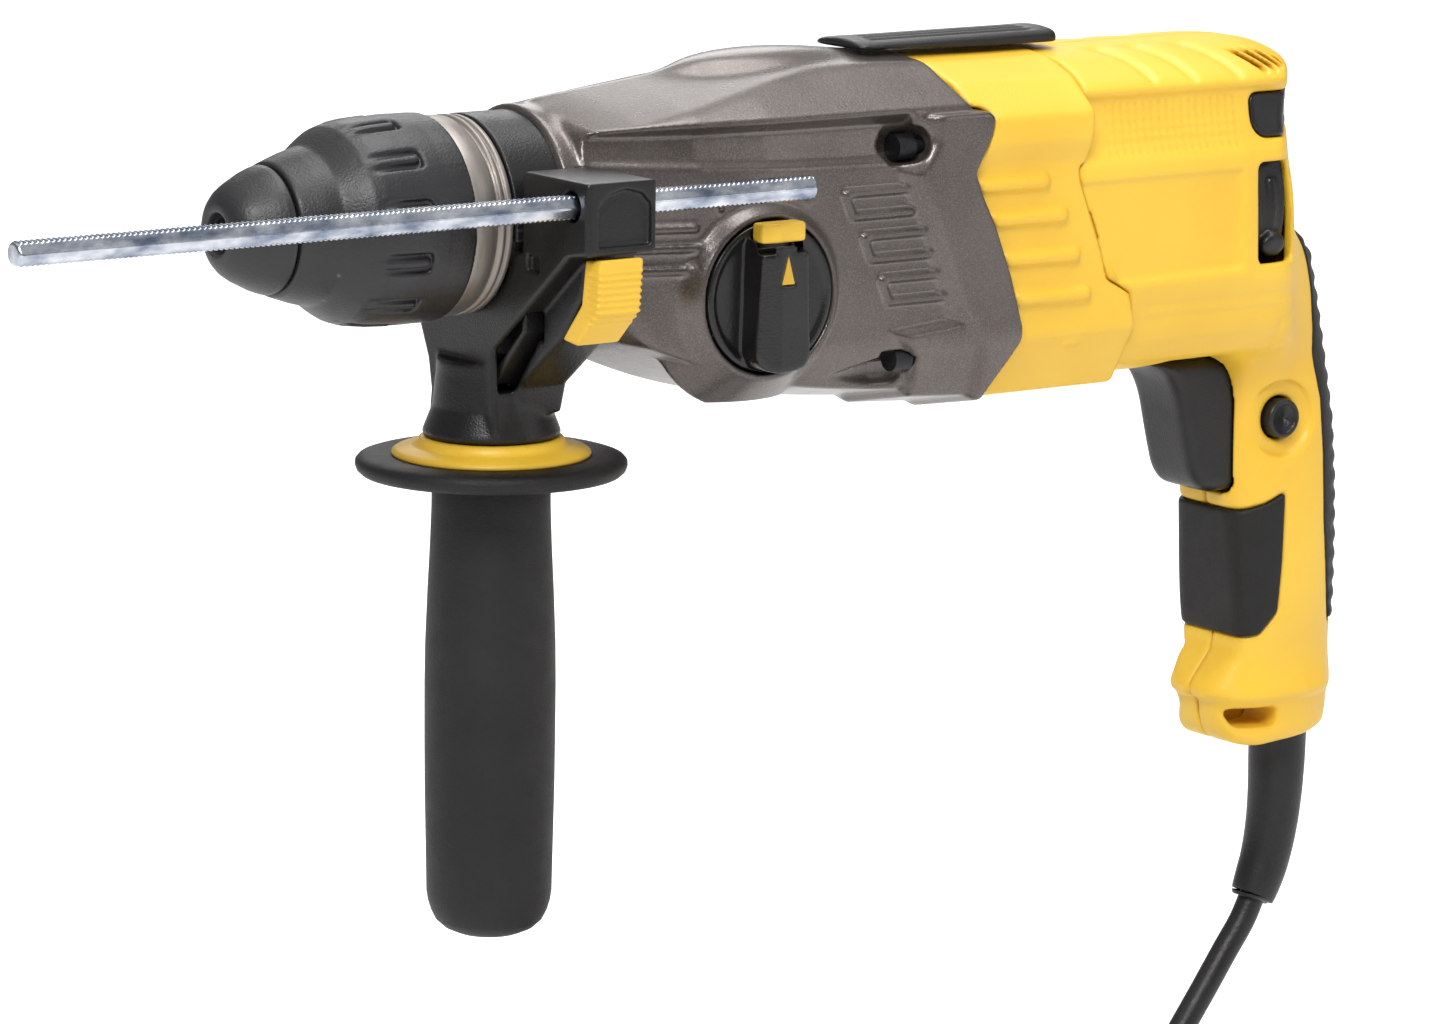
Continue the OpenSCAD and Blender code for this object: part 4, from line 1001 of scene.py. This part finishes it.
def direction_lever():
    """Brush plate with the curved cover and grip that show in the left window."""
    s = Solid((301, -36, -50), (336, 24, 26), 0.5)
    turn = math.radians(17)
    up = s.z - MOTOR_Z
    u = s.y * math.cos(turn) + up * math.sin(turn)
    v = up * math.cos(turn) - s.y * math.sin(turn)
    r = np.hypot(s.y, up)
    s.join(meet(r - 21.4, 13.4 - r, slab(s.x, 313, 316)))
    for side in (-1, 1):
        place = v - side * 17.5
        s.join(meet(slab(u, -4.2, 4.2), slab(place, -4.2, 4.2), slab(s.x, 302, 314)))
        s.cut(meet(slab(u, -3.1, 3.1), slab(place + side * 0.2, -8, 8), slab(s.x, 303.5, 312.5)))
    arm = np.maximum(slab(v, -4, 4), slab(u, -30.4, -20))
    s.join(np.maximum(arm, slab(s.x, 313.5, 320)), 1)
    knob_x = 324.6
    bent = np.arctan2(v, -u) * 30.6
    cover = meet(slab(r, 29.4, 31), slab(s.x, 314, 329.4), np.abs(bent) - 24.6)
    s.join(np.maximum(cover, u), 0.6)
    ridge = smooth_max(np.abs(s.x - knob_x) - 1.3, r - 32.1, 0.8)
    s.join(meet(ridge, 30 - r, np.abs(bent - 8) - 9, u), 0.8)
    knob = np.sqrt((s.x - knob_x) ** 2 / 1.5 + (bent + 1) ** 2) - 3.4
    s.join(smooth_max(np.maximum(knob, 29.6 - r), np.maximum(r - 34.4, u), 1.6), 1.2)
    s.soften(1)
    return s.mesh("direction_lever")


add(palm_rest(), "housing", RUBBER, "palm_pad")
add(back_rest(), "housing", RUBBER, "back_grip_pad")
add(rear_insert(), "housing", BLACK, "rear_grille")
add(top_rail(), "housing", BLACK, "top_strip")
add(trigger_lever(), "trigger_body", BLACK, "trigger")
add(direction_lever(), "brush_holder", BLACK, "brush_plate")

SCREW = [(0.01, -10), (1.58, -10), (1.58, 8.05), (2.9, 8.05), (2.9, 9.6), (2.5, 10.1), (1.3, 10.1),
         (1.3, 9.0), (0.01, 9.0)]
screws = [turned_faces(SCREW, 32, (x, 0, z), (0, 1, 0)) for x, z in CASE_SCREWS]
screw_points = np.concatenate([points for points, _ in screws])
screw_faces = np.concatenate([faces + i * len(points) for i, (points, faces) in enumerate(screws)])
add(mesh_of("shell_screws", screw_points, screw_faces), "housing", ZINC, "case_screws")

button = lathe("lock_on_button", [(0.01, 1), (2.5, 1), (2.5, 12.3), (4.6, 12.3), (5.4, 12.7),
                                  (5.6, 13.3), (5.6, 16.6), (5.45, 17.2), (5.0, 17.55), (4.5, 17.6),
                                  (4.15, 17.3), (3.9, 16.8), (0.01, 16.5)], 96, (LOCK_X, 0, LOCK_Z),
               (0, -1, 0))
add(button, "lock_button_body", BLACK, "lock_button")


# ---- nose: cap, locking sleeve, change ring ----

cap = lathe("nose_cap", [(5.3, 5.9), (5.3, 3.2), (5.6, 2.6), (6.3, 2.4), (8.3, 2.9), (10.3, 4.2),
                         (11.7, 5.6), (13.0, 7.6), (13.9, 9.4), (14.5, 10.6), (15.4, 12.4),
                         (16.2, 14.6), (16.6, 16.0), (16.45, 16.6), (16, 16.8), (10.95, 16.8),
                         (10.95, 7.9), (10.15, 5.9)], 128, (0, 0, 0), (1, 0, 0))
add(cap, "spindle", CAP_RUBBER, "dust_cap")

ring = lathe("quick_change_ring", [(12.6, 62.5), (24.6, 62.5), (25.6, 62.8), (26, 63.4), (26, 69.9),
                                   (25.7, 70.3), (25.2, 70.6), (25.2, 71.2), (25.7, 71.5),
                                   (26.05, 71.9), (26.05, 72.6), (25.7, 73), (25.3, 73.2),
                                   (25.3, 73.6), (25.7, 73.8), (25.95, 74.1), (25.9, 75.1),
                                   (25.4, 75.5), (20, 75.5), (20, 66.5), (12.6, 66.5)], 160,
             (0, 0, 0), (1, 0, 0))
add(ring, "chuck_ring", RING, "change_ring")


def slide_sleeve():
    s = Solid((16, -28, -28), (66, 28, 28), 0.5)
    s.join(s.turned([(10, 17.4), (17.1, 17.4), (17.3, 17.8), (18.4, 21), (19.4, 24),
                     (20.3, 27.4), (20.5, 28.2), (21, 29), (23.6, 32.6), (25.2, 35.2),
                     (26.2, 38.4), (26.8, 43), (27.15, 50), (27.2, 60), (27.1, 63.4),
                     (26.7, 64.3), (10, 64.3)]))
    r = np.hypot(s.y, s.z)
    turn = np.degrees(np.arctan2(s.z, -s.y)) - 13
    across = (np.mod(turn + 15, 30) - 15) * np.pi / 180 * 27
    slot = np.hypot(np.maximum(np.abs(across) - 1.3, 0),
                    np.maximum(np.abs(s.x - 42.3) - 7.4, 0)) - 1.5
    s.cut(smooth_max(slot, 25.5 - r, 0.5), 0.4)
    bar = np.hypot(np.maximum(np.abs(across) - 0.25, 0),
                   np.maximum(np.abs(s.x - 42.3) - 7.2, 0)) - 0.95
    skin = r - np.interp(s.x, [34, 38.4, 43, 50], [24.6, 26.2, 26.8, 27.15])
    s.join(smooth_max(bar, skin - 0.15, 0.6), 0.3)
    s.cut(s.bar(10, 60, 15)).cut(s.bar(28, 36.1, 15.9)).cut(s.bar(39.9, 57, 24))
    s.cut(s.bar(56, 70, 26.3))
    s.soften(1)
    return s.mesh("slide_sleeve")


add(slide_sleeve(), "sleeve", CAP_RUBBER, "locking_sleeve")


# ---- mode knob ----


def knob_top(s):
    """Two shallow faces that meet in a crease left of the knob's middle."""
    across = s.x - KNOB_X + 2.4
    return -s.y - 46.1 + np.where(across < 0, -0.34 * across, 0.10 * across)


def mode_dial():
    s = Solid((127, -47, -43.5), (169, -21, -1.5), 0.4)
    away = np.hypot(s.x - KNOB_X, s.z - KNOB_Z)
    s.join(smooth_max(away - 20, slab(s.y, -38, -31.7), 0.9))
    s.join(s.pin(KNOB_X, KNOB_Z, -33, -25.2, 9))
    s.join(s.pin(KNOB_X, KNOB_Z + 3.9, -26, -21.5, 2))
    low_x, high_x = KNOB_X - 7.2, KNOB_X + 7.2
    # sunken dish around the bar
    s.cut(smooth_max(away - 17.8, s.y + 37.4, 0.6))
    width = 8.6 - 0.14 * (-s.y - 38) - 0.03 * (s.z - KNOB_Z)
    bar = smooth_max(np.abs(s.x - KNOB_X) - width, away - 19.2, 3)
    s.join(smooth_max(np.maximum(bar, s.y + 34), knob_top(s), 1.0), 0.5)
    mark = s.side([(KNOB_X - 2.1, KNOB_Z + 4.2), (KNOB_X + 2.1, KNOB_Z + 4.2),
                   (KNOB_X, KNOB_Z + 11.6)])
    s.cut(np.maximum(mark - 0.15, s.y + 44.9))
    s.cut(s.block((low_x, -50, KNOB_Z + 14.6), (high_x, -38.2, KNOB_Z + 22)))
    s.cut(s.block((low_x, -45.1, KNOB_Z + 12.3), (high_x, -38.2, KNOB_Z + 15)))
    s.soften(1)
    return s.mesh("mode_dial")


def mode_release():
    s = Solid((140, -47, -8), (156, -38, 0), 0.35)
    s.join(s.block((KNOB_X - 6.9, -50, KNOB_Z + 15), (KNOB_X + 6.9, -38.6, KNOB_Z + 20.2), 0.8))
    s.keep(knob_top(s) + 1.3, 0.6)
    s.soften(1)
    return s.mesh("mode_release")


add(mode_dial(), "knob", GLOSSY, "mode_knob")
add(mode_release(), "knob_button", YELLOW, "mode_lock_button")
pointer = [(KNOB_X - 2.0, KNOB_Z + 4.25), (KNOB_X, KNOB_Z + 11.5),
           (KNOB_X + 2.0, KNOB_Z + 4.25)]
pointer_points = [(x, y, z) for y in (-45.75, -44.85) for x, z in pointer]
pointer_mesh = mesh_of("mode_pointer", np.array(pointer_points), [(0, 1, 2), (5, 4, 3)],
                       [(1, 0, 3, 4), (2, 1, 4, 5), (0, 2, 5, 3)], smooth=False)
add(pointer_mesh, "knob", YELLOW)


# ---- side handle ----

HANDLE_X, ROD_Y, ROD_Z = 86, -50, 7.6


def handle_clamp():
    s = Solid((67, -60, -60), (105.5, 30, 24), 0.5)
    bore = 24.35
    plate = s.front([(-57.4, 14.2), (-57.4, -4.4), (-48.6, -5.8), (-14.6, -34), (-15, -48),
                     (-16, -56), (16, -56), (15, -48), (16.5, -40), (22, -28), (27.6, -8),
                     (27.6, 6), (20, 8), (-18, 14.2)])
    s.join(smooth_max(plate, slab(s.x, 76.2, 84.2), 1.2))
    arm = s.front([(-57.4, 14.2), (-57.4, -4.4), (-48.4, -5.2), (-46, -17), (-36.6, -29),
                   (-17.4, -44), (-15, -52), (15, -52), (15.2, -50), (16.5, -40), (22, -28),
                   (27.6, -8), (27.6, 6), (20, 8), (-18, 14.2)])
    s.join(smooth_max(arm, slab(s.x, 83, 98.4), 1.8), 0.6)
    # shoulder that bridges the collar
    s.join(smooth_max(np.hypot(s.y, s.z) - 30.5, np.maximum(slab(s.x, 79, 97.8), s.z + 6), 2), 2)
    s.keep(slab(s.x, 76.1, 98.6), 1.2)
    # round neck that widens to the guard's collar
    neck = np.hypot(s.x - HANDLE_X, s.y) - np.interp(
        s.z, [-60, -58.7, -57.4, -51, -42, -36], [18.2, 18.2, 18.1, 15.6, 14.6, 14.3])
    s.join(smooth_max(neck, slab(s.z, -58.7, -38), 0.8), 1.2)
    s.cut(s.bar(60, 110, bore)).cut(s.bar(91.7, 110, 28.8))
    s.cut(s.front([(-bore, 0), (bore, 0), (bore, 40), (-bore, 40)], 60, 110))
    for y in (-26.05, 26.05):
        s.cut(s.block((78.3, y - 2.0, -30), (93.6, y + 2.0, 32)))
        s.cut(s.block((74.8, y - 2.0, -7), (93.6, y + 2.0, 32)))
    s.cut(s.front([(-26.2, -22), (-26.2, -30), (-14, -45.6), (14, -45.6), (26.2, -30),
                   (26.2, -22)], 78.3, 93.6))
    s.cut(s.post(HANDLE_X, 0, -61, -39, 4.3))
    s.cut(s.bar(60, 110, 3.95, ROD_Z, ROD_Y))
    # sunken arched panel on the outer face, and a small square mark on the front one
    panel = s.side([(80.6, -2.4), (96.4, -2.4), (96.4, 8), (93.6, 10.9), (88.6, 12.2), (83.4, 10.9),
                    (80.6, 8)])
    s.cut(smooth_max(panel, s.y + 55.6, 0.4), 0.4)
    square = s.front([(-35.8, -11), (-30.2, -11), (-30.2, -7), (-35.8, -7)])
    s.cut(np.maximum(square, s.x - 78.2), 0.3)
    # groove along the slanted edge
    edge = strip(s.y[0], s.z[0], [(-47.4, -8.6), (-16.5, -33.6)], 0.5)[None]
    s.cut(np.maximum(edge, s.x - 76.9))
    s.soften(1)
    return s.mesh("handle_clamp")


add(handle_clamp(), "side_handle", BLACK, "handle_bracket")


def strap_band():
    s = Solid((75, -27, -45), (92.6, 27, 27), 0.45)
    s.join(meet(s.bar(76, 91.5, 26.1), 24.3 - np.hypot(s.y, s.z), -s.z))
    for side in (-1, 1):
        s.join(s.front([(side * 24.3, 0.5), (side * 26.1, 0.5), (side * 26.1, -28),
                        (side * 12, -43.6), (0, -43.6), (0, -41), (side * 11, -41),
                        (side * 24.3, -27.5)], 76, 91.5))
    s.cut(s.post(HANDLE_X, 0, -50, -30, 4.05))
    s.cut(np.maximum(s.x - 78.8, s.z + 4.5))
    return s.mesh("strap_band")


add(strap_band(), "strap", BLACK, "clamp_strap")


def rod_release():
    s = Solid((79, -60, -30), (95, -39, -4), 0.35)
    prism = s.front([(-58.4, -5.4), (-51.2, -6.1), (-49.6, -17.6), (-41, -27.8), (-47.5, -28.6),
                     (-57, -19.4)])
    s.join(smooth_max(prism, slab(s.x, 80, 93.5), 0.9))
    ribs = 0.22 * np.cos(TURN * s.z / 1.75)
    face = np.clip((-52 - s.y) / 3, 0, 1) * np.clip((-7.5 - s.z) / 2, 0, 1)
    s.soften(1)
    s.d[...] -= ribs * face
    return s.mesh("rod_release")


add(rod_release(), "rod_button", YELLOW, "depth_button")

grip = lathe("side_grip_tube", [(4.6, -69.3), (15.3, -69.3), (15.6, -70), (15.65, -78), (16.0, -88),
                                (16.6, -100), (17.15, -114), (17.3, -125), (17.25, -140),
                                (17.15, -152), (16.9, -165), (16.7, -175), (16.6, -181),
                                (16.2, -183.6), (15.4, -186.2), (14.2, -188.6), (12, -190.6),
                                (9.6, -191.7), (8.6, -192.1), (4.6, -192.1)], 128, (HANDLE_X, 0, 0),
             (0, 0, 1))
add(grip, "side_grip", RUBBER, "handle_grip")
guard = lathe("guard_disc", [(4.6, -64.05), (25.9, -64.05), (27, -63.9), (30, -63.9), (33.2, -64.1),
                             (34.8, -64.6), (35.6, -65.5), (35.7, -66.6), (35.3, -67.8),
                             (34.2, -68.8), (32, -69.2), (28, -69.0), (24, -68.5), (20, -68.6),
                             (16, -69.2), (4.6, -69.2)], 144, (HANDLE_X, 0, 0), (0, 0, 1))
add(guard, "side_grip", RUBBER, "hand_guard")
collar = lathe("guard_collar", [(4.6, -59.1), (18.2, -59.1), (18.9, -59.4), (19.4, -60.4),
                                (19.8, -61.2), (21, -61.6), (25, -62.3), (26, -62.9), (26.2, -63.6),
                                (26, -64), (4.6, -64)], 144, (HANDLE_X, 0, 0), (0, 0, 1))
add(collar, "side_grip", YELLOW, "guard_ring")


def depth_bar():
    """A hexagonal rod with fine teeth along its upper and lower edges."""
    s = Solid((-86, -54, 3.4), (154, -46, 11.8), 0.3)
    v, w = s.y - ROD_Y, s.z - ROD_Z
    reach = 3.1
    hexagon = np.maximum(np.abs(w), np.abs(v) * math.cos(TURN / 12)
                         + np.abs(w) * math.sin(TURN / 12)) - reach
    ends = slab(s.x, -84, 152)
    s.join(np.maximum(hexagon, ends))
    s.keep(np.maximum(np.hypot(v, w) - 2.6, -1) + ends)
    teeth = np.abs(np.mod(s.x, 1.5) - 0.75) * 0.9
    s.cut(np.maximum(reach - 0.6 + teeth - np.abs(w), np.abs(v) - 3))
    return s.mesh("depth_bar")


add(depth_bar(), "rod", ZINC, "depth_rod")


# ---- floor, light and view ----

floor_mesh = bpy.data.meshes.new("studio_floor")
FLOOR_Z, FLOOR_SIDE, BENDS = -0.1752, 40.0, 24
grid_line = np.linspace(-FLOOR_SIDE, FLOOR_SIDE, BENDS)
floor_points = [(x, y, FLOOR_Z) for x in grid_line for y in grid_line]
floor_faces = [(i * BENDS + j, (i + 1) * BENDS + j, (i + 1) * BENDS + j + 1, i * BENDS + j + 1)
               for i in range(BENDS - 1) for j in range(BENDS - 1)]
floor_mesh.from_pydata(floor_points, [], floor_faces)
add(floor_mesh, material=FLOOR)


def softbox(name, place, target, size, power):
    light = bpy.data.lights.new(name, "AREA")
    light.shape = "RECTANGLE"
    light.size, light.size_y = size
    light.energy = power
    lamp = add(light)
    lamp.location = place
    lamp.rotation_euler = (Vector(target) - Vector(place)).to_track_quat("-Z", "Y").to_euler()


softbox("key_softbox", (-1.6, -1.5, 1.9), (-0.15, 0, 0.08), (1.0, 0.8), 51)
softbox("fill_softbox", (1.5, -1.9, 0.9), (-0.1, 0, 0.05), (1.0, 1.2), 6)
softbox("top_softbox", (0.2, 0.3, 1.5), (-0.2, 0, 0.12), (0.8, 0.8), 8)
softbox("back_softbox", (0.9, 1.9, 1.2), (-0.1, 0, 0.05), (1.0, 1.0), 8)

high_panel = bpy.data.lights.new("high_panel", "SUN")
high_panel.energy, high_panel.angle = 0.9, math.radians(24)
high_lamp = add(high_panel)
high_lamp.rotation_euler = Vector((0.12, -0.2, 0.97)).to_track_quat("Z", "Y").to_euler()

world = bpy.data.worlds.new("studio")
bpy.context.scene.world = world
world.use_nodes = True
sky_nodes, sky_links = world.node_tree.nodes, world.node_tree.links
direction = sky_nodes.new("ShaderNodeTexCoord")
height = sky_nodes.new("ShaderNodeSeparateXYZ")
sky_ramp = sky_nodes.new("ShaderNodeValToRGB")
sky_links.new(direction.outputs["Generated"], height.inputs["Vector"])
sky_links.new(height.outputs["Z"], sky_ramp.inputs["Fac"])
for place, grey in ((0.0, 0.34), (0.3, 0.20), (0.6, 0.42), (0.85, 0.95)):
    stop = sky_ramp.color_ramp.elements.new(place)
    stop.color = (grey, grey, grey, 1)
sky_ramp.color_ramp.elements.remove(sky_ramp.color_ramp.elements[0])
sky_ramp.color_ramp.elements.remove(sky_ramp.color_ramp.elements[-1])
sky_links.new(sky_ramp.outputs["Color"], sky_nodes["Background"].inputs["Color"])
sky_nodes["Background"].inputs["Strength"].default_value = 0.92
bpy.context.scene.view_settings.view_transform = "Standard"
